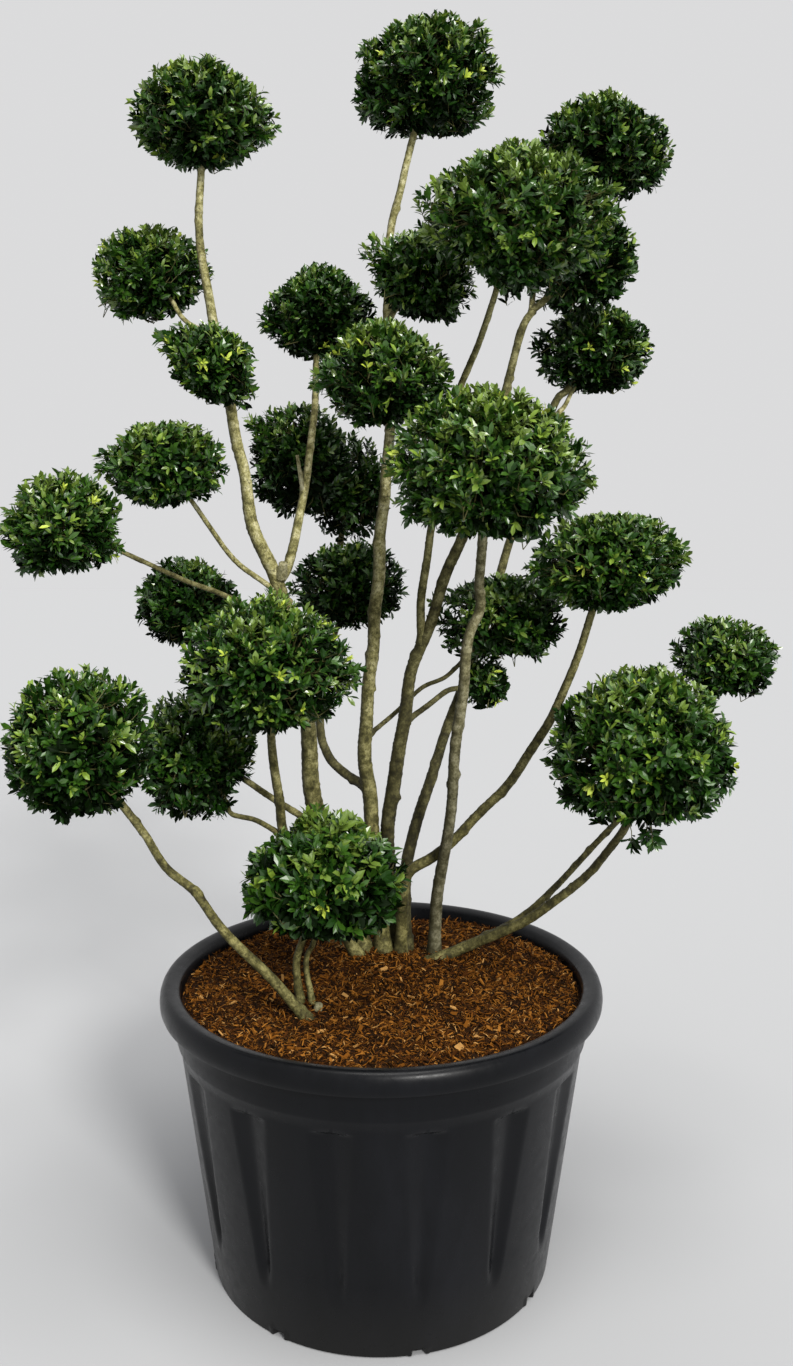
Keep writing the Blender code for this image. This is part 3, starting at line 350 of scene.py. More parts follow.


# the clipped clouds, a row for each: middle; half its spread, depth and height; share of new shoots;
# how much painted shade darkens its leaves, below zero painted light; leaf size against the usual;
# form: how far the outline reaches against those halves, eight times round from +X by way of +Z;
# tufts: shoots that stand out past the outline, by their angle from +X and their reach

clouds = {
    "top_left": ((-0.325, 0.030, 2.034), (0.129, 0.119, 0.104), 0.10, 0.00, 1.00,
        (1.02, 0.86, 0.97, 1.00, 1.00, 0.97, 0.95, 0.92), ((-14, 1.07), (188, 1.03))),
    "top": ((0.084, 0.100, 2.133), (0.135, 0.124, 0.116), 0.08, 0.25, 1.00,
        (1.03, 1.00, 0.89, 0.90, 1.08, 1.10, 0.94, 1.08), ((38, 1.05), (205, 1.04))),
    "top_right": ((0.437, 0.200, 2.031), (0.135, 0.122, 0.102), 0.05, 0.15, 1.00,
        (0.92, 0.80, 0.90, 0.96, 0.97, 1.02, 1.07, 1.08), ((182, 1.06), (-35, 1.04), (95, 1.03))),
    "upper_front": ((0.223, -0.180, 1.809), (0.165, 0.140, 0.115), 0.10, -0.30, 1.00,
        (1.06, 0.95, 0.95, 0.92, 1.03, 0.82, 1.20, 1.08), ((5, 1.05),)),
    "upper_right": ((0.392, 0.140, 1.799), (0.101, 0.091, 0.103), 0.05, 0.30, 1.00,
        (0.94, 0.93, 1.00, 1.00, 1.15, 1.30, 1.08, 0.94), ()),
    "upper_left": ((-0.450, 0.170, 1.772), (0.110, 0.099, 0.093), 0.07, 0.00, 1.00,
        (1.05, 1.00, 0.96, 1.06, 1.02, 1.00, 0.95, 0.93), ((-120, 1.06), (10, 1.03))),
    "leader": ((-0.307, -0.030, 1.573), (0.088, 0.080, 0.076), 0.16, 0.15, 1.00,
        (0.97, 0.96, 1.00, 1.14, 0.76, 0.70, 0.86, 1.08), ((152, 1.12), (-40, 1.10))),
    "upper_back": ((-0.128, 0.210, 1.701), (0.112, 0.101, 0.094), 0.02, 0.60, 1.00,
        (1.00, 1.02, 1.00, 0.86, 0.94, 0.95, 1.00, 1.02), ((195, 1.06), (-50, 1.05))),
    "upper_middle": ((0.069, 0.015, 1.740), (0.099, 0.084, 0.085), 0.05, 0.20, 1.00,
        (1.00, 0.97, 0.94, 1.04, 0.93, 0.84, 0.95, 1.22), ((150, 1.20), (20, 1.05))),
    "middle_high": ((0.007, -0.065, 1.555), (0.118, 0.101, 0.096), 0.08, 0.10, 1.00,
        (1.00, 0.90, 1.00, 0.95, 1.04, 0.99, 0.93, 0.92), ((-120, 1.06), (-75, 1.06), (190, 1.06))),
    "right_high": ((0.429, 0.270, 1.641), (0.115, 0.103, 0.091), 0.05, 0.30, 1.00,
        (0.95, 0.92, 0.97, 0.92, 1.15, 1.08, 1.00, 1.08), ()),
    "centre": ((0.177, -0.210, 1.401), (0.166, 0.141, 0.123), 0.12, -0.18, 1.08,
        (0.97, 0.90, 1.00, 0.95, 1.02, 1.06, 1.04, 1.14), ((205, 1.08), (-10, 1.05))),
    "left_high": ((-0.385, -0.020, 1.398), (0.110, 0.099, 0.078), 0.14, 0.00, 1.00,
        (1.02, 1.04, 0.94, 1.00, 1.00, 1.04, 0.97, 0.92), ((-30, 1.06), (175, 1.05))),
    "far_left": ((-0.545, -0.100, 1.297), (0.101, 0.091, 0.091), 0.08, 0.00, 1.00,
        (0.98, 1.02, 0.98, 0.95, 0.98, 1.08, 0.95, 1.04), ((-32, 1.12), (-125, 1.06), (180, 1.05))),
    "back_left": ((-0.169, 0.235, 1.422), (0.099, 0.085, 0.111), 0.01, 0.70, 1.00,
        (1.04, 1.00, 0.95, 1.04, 0.94, 1.15, 1.15, 1.04), ((140, 1.16),)),
    "back_middle": ((-0.075, 0.330, 1.359), (0.083, 0.060, 0.117), 0.01, 0.70, 1.00,
        (1.10, 1.06, 1.00, 1.00, 1.00, 1.00, 1.00, 1.05), ()),
    "back_low": ((-0.065, 0.215, 1.166), (0.102, 0.082, 0.085), 0.02, 0.60, 1.00,
        (1.18, 1.10, 1.00, 1.04, 1.20, 1.06, 1.02, 1.06), ()),
    "left_back": ((-0.396, 0.260, 1.130), (0.104, 0.094, 0.088), 0.02, 0.60, 1.00,
        (1.04, 0.96, 1.00, 1.02, 0.95, 1.00, 1.02, 1.00), ()),
    "left_front": ((-0.199, -0.100, 1.052), (0.151, 0.128, 0.116), 0.10, 0.22, 1.00,
        (1.10, 1.00, 1.04, 1.00, 0.97, 1.02, 0.96, 1.04), ((-2, 1.06), (80, 1.05))),
    "right_middle": ((0.408, 0.010, 1.222), (0.144, 0.122, 0.090), 0.06, 0.00, 1.00,
        (0.94, 1.04, 0.96, 1.02, 1.02, 1.00, 0.98, 0.94), ((10, 1.06), (190, 1.06))),
    "centre_back": ((0.237, 0.140, 1.111), (0.126, 0.100, 0.080), 0.03, 0.35, 1.00,
        (0.98, 1.02, 1.02, 0.97, 1.15, 1.15, 0.88, 1.00), ((-60, 1.05), (165, 1.06))),
    "centre_small": ((0.199, 0.160, 0.983), (0.048, 0.044, 0.056), 0.10, 0.30, 1.00,
        (0.95, 0.96, 1.00, 0.96, 0.92, 0.98, 0.90, 0.90), ()),
    "far_right": ((0.675, 0.220, 1.025), (0.101, 0.086, 0.081), 0.03, 0.30, 1.00,
        (0.98, 1.00, 0.95, 1.07, 1.04, 0.92, 0.92, 1.10), ((-110, 1.10), (10, 1.04))),
    "right_low": ((0.466, -0.050, 0.911), (0.168, 0.143, 0.139), 0.07, 0.25, 1.12,
        (0.88, 0.88, 0.95, 0.93, 1.06, 1.12, 1.00, 1.04), ((-93, 1.30), (-20, 1.05), (215, 1.05))),
    "left_low": ((-0.483, -0.250, 0.948), (0.119, 0.107, 0.122), 0.08, 0.75, 1.02,
        (1.04, 1.08, 0.98, 0.98, 0.96, 1.00, 0.92, 1.00), ((-100, 1.04),)),
    "left_inner": ((-0.340, 0.090, 0.867), (0.116, 0.098, 0.123), 0.05, 0.40, 1.00,
        (0.88, 0.93, 1.00, 1.00, 1.00, 1.12, 1.04, 0.90), ((55, 1.05), (-75, 1.05))),
    "front_low": ((-0.096, -0.130, 0.703), (0.135, 0.115, 0.108), 0.06, 0.25, 1.34,
        (1.05, 0.88, 0.92, 0.83, 1.00, 1.00, 0.93, 1.10), ((100, 1.12), (68, 1.06), (195, 1.04))),
}
cloudKeys = ("middle", "half", "young", "shade", "leaf", "form", "tufts")
clouds = {name: dict(zip(cloudKeys, row)) for name, row in clouds.items()}
crownShare = 1.10      # a cloud is a little fuller below its middle, so its crown is the taller part


def cloudFrame(name):
    middle, half = np.array(clouds[name]["middle"]), np.array(clouds[name]["half"])
    crown = half[2] * 2 * crownShare / (1 + crownShare)
    heart = middle + np.array([0, 0, half[2] - crown])
    return heart, half, crown, 2 * half[2] - crown


def cloudShare(name, points):
    # 1 on a cloud's outline, 0 at its heart
    heart, half, crown, belly = cloudFrame(name)
    form = np.array(clouds[name]["form"])
    away = points - heart
    up = np.where(away[..., 2] > 0, crown, belly)
    plain = np.sqrt((away[..., 0] / half[0]) ** 2 + (away[..., 1] / half[1]) ** 2
                    + (away[..., 2] / up) ** 2)
    turn = np.arctan2(away[..., 2], away[..., 0]) / (2 * math.pi) * len(form)
    low = np.floor(turn).astype(int)
    mix = (1 - np.cos((turn - low) * math.pi)) / 2
    reach = form[low % len(form)] * (1 - mix) + form[(low + 1) % len(form)] * mix
    frontal = np.hypot(away[..., 0], away[..., 2]) / np.maximum(np.linalg.norm(away, axis=-1), 1e-6)
    return plain / (1 + (reach - 1) * frontal)


def cloudPoint(name, directions, share):
    heart = cloudFrame(name)[0]
    reach = share / cloudShare(name, heart + directions)
    return heart + directions * np.reshape(reach, (-1, 1))


# limbs, a row for each: what carries it, tone of bark, radius at foot and tip, its cloud, its route;
# a point without a height lies at the cut level in the mulch

limbs = {
    "trunk_left": ("ground", "fair", (0.0190, 0.0068), "top_left", (
        (-0.041, 0.163), (-0.094, 0.142, 0.635), (-0.135, 0.120, 0.794), (-0.140, 0.110, 0.928),
        (-0.161, 0.105, 1.061), (-0.200, 0.100, 1.180), (-0.244, 0.095, 1.296), (-0.262, 0.090, 1.399),
        (-0.282, 0.085, 1.503), (-0.309, 0.080, 1.640), (-0.332, 0.070, 1.769), (-0.336, 0.050, 1.848))),
    "stem_middle": ("ground", "fair", (0.0155, 0.0066), "top", (
        (0.001, 0.150), (-0.022, 0.145, 0.733), (-0.034, 0.130, 0.868), (-0.022, 0.115, 1.009),
        (-0.004, 0.090, 1.249), (0.007, 0.075, 1.371), (0.013, 0.070, 1.472), (0.011, 0.120, 1.712),
        (0.016, 0.125, 1.847), (0.037, 0.115, 1.930))),
    "stem_right": ("ground", "dark", (0.0155, 0.0067), "upper_right", (
        (0.012, 0.186), (0.012, 0.152, 0.720), (0.041, 0.125, 0.912), (0.054, 0.110, 1.004),
        (0.076, 0.100, 1.071), (0.102, 0.085, 1.140), (0.126, 0.080, 1.207), (0.201, 0.085, 1.427),
        (0.258, 0.120, 1.636), (0.284, 0.128, 1.690))),
    "stem_back_right": ("ground", "dark", (0.0120, 0.0071), "right_high", (
        (0.044, 0.178), (0.044, 0.185, 0.594), (0.061, 0.195, 0.684), (0.135, 0.230, 0.903),
        (0.203, 0.265, 1.075), (0.259, 0.270, 1.262), (0.338, 0.270, 1.508))),
    "stem_centre": ("ground", "grey", (0.0114, 0.0086), "centre", (
        (0.098, 0.138), (0.103, 0.120, 0.576), (0.122, 0.080, 0.716), (0.145, 0.010, 0.991),
        (0.156, -0.010, 1.084), (0.176, -0.020, 1.138), (0.172, -0.040, 1.193))),
    "stem_side_right": ("ground", "olive", (0.0108, 0.0072), "right_middle", (
        (0.034, 0.146), (0.045, 0.128, 0.610), (0.098, 0.125, 0.660), (0.190, 0.110, 0.746),
        (0.285, 0.090, 0.874), (0.340, 0.070, 0.987), (0.368, 0.045, 1.077))),
    "stem_low_right": ("ground", "olive", (0.0095, 0.0071), "right_low", (
        (0.105, 0.100), (0.164, 0.100, 0.499), (0.219, 0.080, 0.530), (0.291, 0.060, 0.572),
        (0.379, 0.030, 0.659), (0.432, 0.000, 0.738))),
    "stem_far_right": ("ground", "olive", (0.0076, 0.0039), "far_right", (
        (0.135, 0.135), (0.252, 0.135, 0.531), (0.325, 0.140, 0.589), (0.416, 0.160, 0.679),
        (0.519, 0.180, 0.770), (0.621, 0.200, 0.873))),
    "stem_low_left": ("ground", "fair", (0.0085, 0.0064), "left_low", (
        (-0.124, -0.158), (-0.178, -0.170, 0.538), (-0.258, -0.190, 0.630), (-0.302, -0.200, 0.694),
        (-0.348, -0.210, 0.737), (-0.380, -0.220, 0.796))),
    "stem_left_front": ("ground", "fair", (0.0110, 0.0072), "left_front", (
        (-0.046, 0.111), (-0.127, 0.110, 0.610), (-0.183, 0.090, 0.705), (-0.190, 0.060, 0.784),
        (-0.198, 0.030, 0.875))),
    "stem_front": ("ground", "fair", (0.0070, 0.0060), "front_low", (
        (-0.137, -0.098), (-0.146, -0.102, 0.541))),
    "twig_front": ("ground", "fair", (0.0052, 0.0043), "front_low", (
        (-0.118, -0.105), (-0.127, -0.095, 0.543), (-0.118, -0.105, 0.575))),
    "bough_upper_back": ("trunk_left", "fair", (0.0094, 0.0058), "upper_back", (
        (-0.200, 0.100, 1.178), (-0.176, 0.104, 1.215), (-0.148, 0.115, 1.343), (-0.140, 0.130, 1.428),
        (-0.130, 0.155, 1.515))),
    "bough_left_high": ("trunk_left", "fair", (0.0052, 0.0042), "left_high", (
        (-0.192, 0.101, 1.155), (-0.264, 0.078, 1.215), (-0.312, 0.040, 1.281))),
    "bough_far_left": ("trunk_left", "dark", (0.0056, 0.0040), "far_left", (
        (-0.166, 0.104, 1.080), (-0.279, 0.050, 1.154), (-0.355, 0.000, 1.192), (-0.402, -0.040, 1.216))),
    "bough_upper_left": ("trunk_left", "fair", (0.0048, 0.0042), "upper_left", (
        (-0.309, 0.080, 1.640), (-0.361, 0.102, 1.665))),
    "bough_leader": ("trunk_left", "fair", (0.0056, 0.0048), "leader", (
        (-0.282, 0.085, 1.503), (-0.290, 0.048, 1.522))),
    "bough_left_back": ("trunk_left", "olive", (0.0056, 0.0048), "left_back", (
        (-0.154, 0.105, 1.030), (-0.236, 0.160, 1.064))),
    "bough_inner_left": ("trunk_left", "fair", (0.0070, 0.0056), "left_inner", (
        (-0.113, 0.133, 0.702), (-0.190, 0.122, 0.758))),
    "bough_back_left": ("bough_upper_back", "fair", (0.0050, 0.0046), "back_left", (
        (-0.147, 0.118, 1.362),)),
    "twig_inner_left": ("stem_left_front", "fair", (0.0050, 0.0045), "left_inner", (
        (-0.183, 0.090, 0.705), (-0.235, 0.095, 0.734), (-0.281, 0.094, 0.744))),
    "stem_back": ("stem_middle", "dark", (0.0090, 0.0062), "back_middle", (
        (-0.028, 0.140, 0.783), (-0.076, 0.190, 0.803), (-0.108, 0.210, 0.832), (-0.125, 0.225, 0.888),
        (-0.124, 0.280, 1.029), (-0.100, 0.325, 1.147))),
    "bough_back_low": ("stem_back", "dark", (0.0060, 0.0050), "back_low", (
        (-0.125, 0.262, 0.985), (-0.105, 0.245, 1.040))),
    "bough_middle_high": ("stem_middle", "fair", (0.0056, 0.0050), "middle_high", (
        (0.012, 0.071, 1.462), (0.012, 0.035, 1.482))),
    "bough_upper_middle": ("stem_middle", "fair", (0.0056, 0.0050), "upper_middle", (
        (0.011, 0.110, 1.665), (0.020, 0.092, 1.682))),
    "twig_centre_back": ("stem_middle", "dark", (0.0047, 0.0038), "centre_back", (
        (-0.034, 0.128, 0.880), (-0.001, 0.150, 0.904), (0.031, 0.170, 0.929), (0.076, 0.176, 0.969),
        (0.122, 0.166, 0.992))),
    "bough_upper_front": ("stem_right", "olive", (0.0080, 0.0052), "upper_front", (
        (0.074, 0.100, 1.066), (0.072, 0.078, 1.148), (0.084, 0.050, 1.231), (0.105, 0.020, 1.370),
        (0.144, -0.010, 1.539), (0.194, -0.090, 1.678))),
    "bough_top_right": ("stem_right", "fair", (0.0058, 0.0056), "top_right", (
        (0.284, 0.128, 1.690), (0.297, 0.205, 1.774), (0.313, 0.235, 1.880), (0.360, 0.225, 1.945))),
    "twig_centre_small": ("stem_right", "dark", (0.0057, 0.0048), "centre_small", (
        (0.041, 0.125, 0.912), (0.087, 0.150, 0.940), (0.124, 0.162, 0.963))),
    "twig_right_high": ("stem_back_right", "fair", (0.0050, 0.0040), "right_high", (
        (0.332, 0.270, 1.490), (0.362, 0.262, 1.518))),
}
limbKeys = ("from", "bark", "radii", "cloud", "route")
limbs = {name: dict(zip(limbKeys, row)) for name, row in limbs.items()}
barkShape = {
    "sides": 12, "step": 0.0045, "ground": 0.470, "cutLevel": 0.472, "sunk": 0.026,
    # sunSide: the light's side; bark facing away from it gets painted shade
    "sunSide": (0.80, -0.45, 0.40), "wander": 0.0011, "ripple": 0.035, "roughness": 0.02475,
    "footFlare": 0.42, "footFlareHeight": 0.020, "forkFlare": 0.55, "forkFlareLength": 0.013,
    "ringEvery": (0.022, 0.060), "ringSwell": 0.10, "ringWidth": 0.0026,
    "knotEvery": 0.085, "knotSwell": 0.42, "knotLength": 0.0065, "knotTurn": 0.55,
    "insideRun": 0.9, "insideTaper": 0.45, "seed": 3,
    # shares of a stub's length and of its radius there, closing at the cut
    "stubRings": ((0.0, 1), (0.3, 1), (0.7, 1), (0.97, 1), (1.0, 0.86), (1.0, 0.02)),
}
# tones of bark, damp hollows to dry high spots: darker low down and paler higher up, partly the bark's own
# tone and partly painted shade and painted light
barkTones = {
    "fair": (("#29270f", "#5d5930", "#8f8956"), ("#57532a", "#a39d66", "#d6d0a2")),
    "olive": (("#27250f", "#55512b", "#837d4d"), ("#4b4823", "#8c8753", "#bab47f")),
    # dark: on limbs at the back and inside the crown, partly painted shade
    "dark": (("#1b190b", "#37341a", "#5a5633"), ("#39361a", "#6d693e", "#9d9869")),
    "cut": (("#4a4527", "#8d8760", "#b8b28c"), ("#6f6a3f", "#bfb98c", "#e0dbb8")),
    "grey": (("#322f1b", "#5d5a42", "#827e66"), ("#56522f", "#979169", "#c0bb97")),
}
# pruned stubs: foot, cut end, and the radius at each
stubs = (((-0.1490, 0.113, 1.346), (-0.1606, 0.106, 1.418), 0.0046, 0.0032),
         ((-0.1880, 0.090, 1.188), (-0.1838, 0.077, 1.217), 0.0105, 0.0080),
         ((-0.1080, -0.128, 0.462), (-0.1040, -0.131, 0.484), 0.0085, 0.0064))


def limbLine(name):
    # the line a limb follows, where it enters its cloud, and its radius there
    limb, s = limbs[name], barkShape
    points = [np.array(p if len(p) == 3 else (*p, s["cutLevel"])) for p in limb["route"]]
    if limb["from"] == "ground":
        run = unit(points[1] - points[0])
        points.insert(0, points[0] - run * (s["sunk"] / max(run[2], 0.5)))
    heart = cloudFrame(limb["cloud"])[0]
    tip = cloudPoint(limb["cloud"], unit(points[-1] - heart)[None, :], 1.0)[0]
    points.append(tip)
    ends = [2 * points[0] - points[1]] + points + [2 * tip - points[-2]]
    line = []
    for i in range(1, len(ends) - 2):
        before, start, end, after = ends[i - 1:i + 3]
        pieces = max(2, round(float(np.linalg.norm(end - start)) / s["step"]))
        for k in range(pieces):
            t = k / pieces
            line.append(0.5 * (2 * start + (end - before) * t
                               + (2 * before - 5 * start + 4 * end - after) * t ** 2
                               + (3 * start - before - 3 * end + after) * t ** 3))
    outside = len(line)
    inner = max(2, round(float(np.linalg.norm(heart - tip)) * s["insideRun"] / s["step"]))
    line += [tip + (heart - tip) * s["insideRun"] * k / inner for k in range(inner + 1)]
    line = np.array(line)
    along = np.concatenate([[0], np.cumsum(np.linalg.norm(np.diff(line, axis=0), axis=1))])
    thick, thin = limb["radii"]
    radius = thick + (thin - thick) * np.minimum(along / along[outside], 1.0)
    within = along[outside:] - along[outside]
    radius[outside:] *= 1 - s["insideTaper"] * within / (along[-1] - along[outside])
    return line, along, radius, outside


def limbSurface(name, rng):
    s = barkShape
    line, along, radius, outside = limbLine(name)
    count = len(line)
    # slow wander of the line, none at its ends
    hold = np.sin(np.pi * np.clip(along / along[-1], 0, 1))[:, None]
    line = line + hold * sum(rng.normal(0, s["wander"], 3)
                             * np.sin(along[:, None] * rng.uniform(18, 45) + rng.uniform(0, 6))
                             for _ in range(3))
    if limbs[name]["from"] == "ground":
        rise = np.maximum(0, line[:, 2] - s["ground"])
        radius = radius * (1 + s["footFlare"] * np.exp(-rise / s["footFlareHeight"]))
    else:
        radius = radius * (1 + s["forkFlare"] * np.exp(-along / s["forkFlareLength"]))
    reached, rings = 0.0, []
    while reached < along[-1]:
        reached += rng.uniform(*s["ringEvery"])
        rings.append(reached)
    turn = fullTurn(s["sides"])
    # each node is a leaf scar that goes part of the way round
    rings = sum(np.exp(-((along[:, None] - at) / s["ringWidth"]) ** 2) * rng.uniform(0.3, 1.2)
                * (0.25 + 0.75 * (0.5 + 0.5 * np.cos(turn - rng.uniform(0, 6.3))) ** 2)
                for at in rings)
    relief = 1 + s["ringSwell"] * rings
    relief += s["ripple"] * np.sin(2 * turn + along[:, None] * 14 + rng.uniform(0, 6))
    relief += rng.normal(0, s["roughness"], relief.shape)
    for _ in range(max(1, round(along[-1] / s["knotEvery"]))):
        at, facing = rng.uniform(0.03, 0.97) * along[-1], rng.uniform(0, 2 * math.pi)
        apart = np.abs((turn - facing + math.pi) % (2 * math.pi) - math.pi)
        knot = np.exp(-((along[:, None] - at) / s["knotLength"]) ** 2 - (apart / s["knotTurn"]) ** 2)
        relief += s["knotSwell"] * rng.uniform(0.4, 1.2) * knot
    ahead = unit(np.gradient(line, axis=0))
    side = np.array([1.0, 0.0, 0.0])
    points, paintedShade = np.zeros((count, s["sides"], 3)), np.zeros((count, s["sides"]))
    for i in range(count):
        side = unit(side - ahead[i] * side.dot(ahead[i]))
        ring = around(side, np.cross(ahead[i], side), turn[:, None])
        points[i] = line[i] + ring * (radius[i] * relief[i])[:, None]
        # how far each point faces away from the sun, the mask for painted shade on the bark
        paintedShade[i] = -ring @ s["sunSide"]
    return line, along, radius, outside, points, rings, paintedShade


def barkMaterial(tone):
    # thin living bark: green-grey film in patches, lengthwise streaks, specks and dark nodes,
    # paler higher up and darker lower down, partly its own tone and partly painted light and shade, and
    # painted shade on the side away from the sun
    material, tree = newMaterial("holly_bark_" + tone)
    where = addNode(tree, "TexCoord").outputs["UV"]
    solid = addNode(tree, "TexCoord").outputs["Object"]
    film = addNode(tree, "TexNoise", {"Vector": solid, "Scale": 50.0, "Detail": 8.0, "Roughness": 0.75})
    low, high = [addNode(tree, "ValToRGB", {"Fac": film.outputs["Fac"]},
                         tuple(zip((0.38, 0.50, 0.61), codes))) for codes in barkTones[tone]]
    height = addNode(tree, "SeparateXYZ", {0: solid}).outputs["Z"]
    # mix of the low and high tones by height: partly the bark's own tone, partly painted shade low down and
    # painted light higher up
    lit = addNode(tree, "MapRange", {"Value": height, "From Min": 0.70, "From Max": 1.35})
    base = addNode(tree, "Mix", {0: lit.outputs[0], 6: low.outputs[0], 7: high.outputs[0]},
                   data_type="RGBA")
    lengthwise = addNode(tree, "Mapping", {"Vector": where, "Scale": (9.0, 55.0, 1.0)})
    streaks = addNode(tree, "TexNoise", {"Vector": lengthwise.outputs[0], "Scale": 3.0, "Detail": 5.0,
                                         "Roughness": 0.65})
    specks = addNode(tree, "TexNoise", {"Vector": solid, "Scale": 260.0, "Detail": 3.0})
    nodes = addNode(tree, "Attribute", attribute_name="nodes")
    paintedShade = addNode(tree, "Attribute", attribute_name="paintedShade")
    colour = base.outputs[2]
    # streaks, specks and nodes are the bark's own marks; the last mask is painted shade on the side away
    # from the sun
    for mask, start, end, strength, code in ((streaks.outputs["Fac"], 0.50, 0.70, 0.70, "#38341c"),
                                             (specks.outputs["Fac"], 0.55, 0.67, 0.60, "#2b2613"),
                                             (nodes.outputs["Fac"], 0.20, 1.00, 0.60, "#332e17"),
                                             (paintedShade.outputs["Fac"], -0.42, 0.50, 0.82, "#26240f")):
        amount = addNode(tree, "MapRange", {"Value": mask, "From Min": start, "From Max": end,
                                            "To Min": 0.0, "To Max": strength})
        colour = addNode(tree, "Mix", {0: amount.outputs[0], 6: colour, 7: toLinear(code)},
                         data_type="RGBA").outputs[2]
    bump = addNode(tree, "Bump", {"Height": streaks.outputs["Fac"], "Strength": 0.7, "Distance": 0.0018})
    fine = addNode(tree, "Bump", {"Height": specks.outputs["Fac"], "Strength": 0.6, "Distance": 0.0007,
                                  "Normal": bump.outputs[0]})
    return finishMaterial(material, {"Base Color": colour, "Roughness": 0.70,
                                     "Normal": fine.outputs[0], "Specular IOR Level": 0.25})


def stubSurface(foot, end, thick, thin, rng):
    s = barkShape
    foot, end = np.array(foot), np.array(end)
    ahead = unit(end - foot)
    side = unit(np.cross(ahead, np.array([0.0, 1.0, 0.0])))
    ring = around(side, np.cross(ahead, side), fullTurn(s["sides"])[:, None])
    share, closing = np.array(s["stubRings"]).T[:, :, None, None]
    width = (thick + (thin - thick) * share) * closing
    width = width * rng.uniform(0.92, 1.08, (len(share), s["sides"], 1))
    return foot + (end - foot) * share + ring * width


def buildLimbs():
    s = barkShape
    rng = np.random.default_rng(s["seed"])
    shapes, limbPoints = [], []
    for name in limbs:
        line, along, radius, outside, surface, rings, paintedShade = limbSurface(name, rng)
        shapes.append((surface, along, rings, paintedShade, limbs[name]["bark"]))
        limbPoints.append(np.column_stack([line[:outside], radius[:outside]]))
    for stub in stubs:
        surface = stubSurface(*stub, rng)
        plain = np.zeros(surface.shape[:2])
        shapes.append((surface, np.arange(len(surface)) * 0.01, plain, plain, "cut"))
    groups, coords, dealt, nodes, paintedShades = [], [], [], [], []
    for surface, along, rings, paintedShade, tone in shapes:
        quads = gridFaces(len(surface), s["sides"])
        column = quads % s["sides"]
        if tone != "cut":      # streaks run on across a limb's seam; on a short stub it doesn't show
            column[:, 1:3] += s["sides"] * (column[:, 1:3] < column[:, :1])
        coords.append(np.stack([column / s["sides"], along[quads // s["sides"]]], -1).reshape(-1, 2))
        groups.append((surface.reshape(1, -1, 3), quads))
        nodes.append(rings.ravel())
        paintedShades.append(paintedShade.ravel())
        dealt.append(np.full(len(quads), list(barkTones).index(tone)))
    piece = buildMesh("bark_limbs", *joinPieces(groups), [barkMaterial(tone) for tone in barkTones],
                      np.concatenate(dealt), smooth=True)
    layer = piece.data.uv_layers.new(name="along")
    layer.data.foreach_set("uv", np.concatenate(coords).astype(np.float32).ravel())
    for title, values in (("nodes", nodes), ("paintedShade", paintedShades)):
        mask = piece.data.attributes.new(title, "FLOAT", "POINT")
        mask.data.foreach_set("value", np.concatenate(values).astype(np.float32))
    place(piece, "bark", *limbs)
    return np.concatenate(limbPoints)


# foliage: small stiff leaves in spirals on short shoots, clipped to the clouds' outlines

foliage = {
    # share of the outline that shoot tips reach, spacing of shoots, leaves on each, leaf scale, depth
    "layers": (
        {"reach": (0.95, 1.05), "spacing": 0.0228, "leaves": 12, "shoot": 0.036, "scale": 1.0, "deep": 0.0},
        {"reach": (0.76, 0.88), "spacing": 0.033, "leaves": 10, "shoot": 0.040, "scale": 1.2, "deep": 0.5},
        {"reach": (0.50, 0.64), "spacing": 0.042, "leaves": 9, "shoot": 0.042, "scale": 1.75, "deep": 1.0}),
    "leafLength": 0.0190, "leafWidth": 0.41, "seed": 20,
    "spraySpacing": 0.056, "sprayRise": 0.030, "sprayDip": 0.13, "sprayTint": 0.28, "lumps": 0.04,
    "edge": 1.09, "tuftEdge": 1.45, "tuftShoots": 5, "aliveShare": 0.55, "boughs": 15, "twigSides": 3,
    "neighbourMargin": 0.02, "neighbourReach": 0.40, "limbMargin": 0.004, "limbReach": 0.04,
    # twig radius at foot and tip
    "boughTwig": (0.0030, 0.0017), "branchTwig": (0.0015, 0.0010), "shootTwig": (0.0010, 0.0005),
    # steps of leaf tone: the usual one, what depth and a cloud's shade (painted shade), the crown (painted
    # light) and a shoot's tip change, and chance
    "tone": {"usual": 1.62, "deep": 1.6, "shade": 0.9, "crown": 1.05, "tip": 1.2,
             "shoots": 0.50, "leaves": 0.42},
    "palerShoots": 2.0, "newShoots": 0.28,      # against a cloud's share of new shoots
}
# waxy leaves, light and shade painted in: deep shade, older leaves in part shade, mature, sunlit with a
# painted sheen, young, newest shoots
leafTones = (("leaf_shaded", "#071502", 0.55, 0.06), ("leaf_old_half_shaded", "#19370a", 0.40, 0.28),
             ("leaf_mature", "#345616", 0.30, 0.66), ("leaf_sunlit", "#647c30", 0.28, 0.80),
             ("leaf_young", "#718b2e", 0.36, 0.50), ("leaf_new_shoot", "#a9b944", 0.40, 0.40))
# root, fold, tip, then two points down either side: along, across, up
leafForm = np.array([(0.00, 0.0, 0.00), (0.52, 0.0, 0.035), (1.00, 0.0, -0.05), (0.30, 0.40, 0.075),
                     (0.70, 0.44, 0.055), (0.30, -0.40, 0.075), (0.70, -0.44, 0.055)])
leafFaces = np.array([(0, 3, 1), (3, 4, 1), (4, 2, 1), (0, 1, 5), (5, 1, 6), (6, 1, 2)])
# the same without its fold point, for leaves deep in a cloud
deepForm = leafForm[[0, 2, 3, 4, 5, 6]]
deepFaces = np.array([(0, 2, 3), (0, 3, 1), (0, 1, 5), (0, 5, 4)])


def cloudArea(name):
    half = cloudFrame(name)[1]
    return 4 * math.pi * (half[0] * half[1] + half[0] * half[2] + half[1] * half[2]) / 3


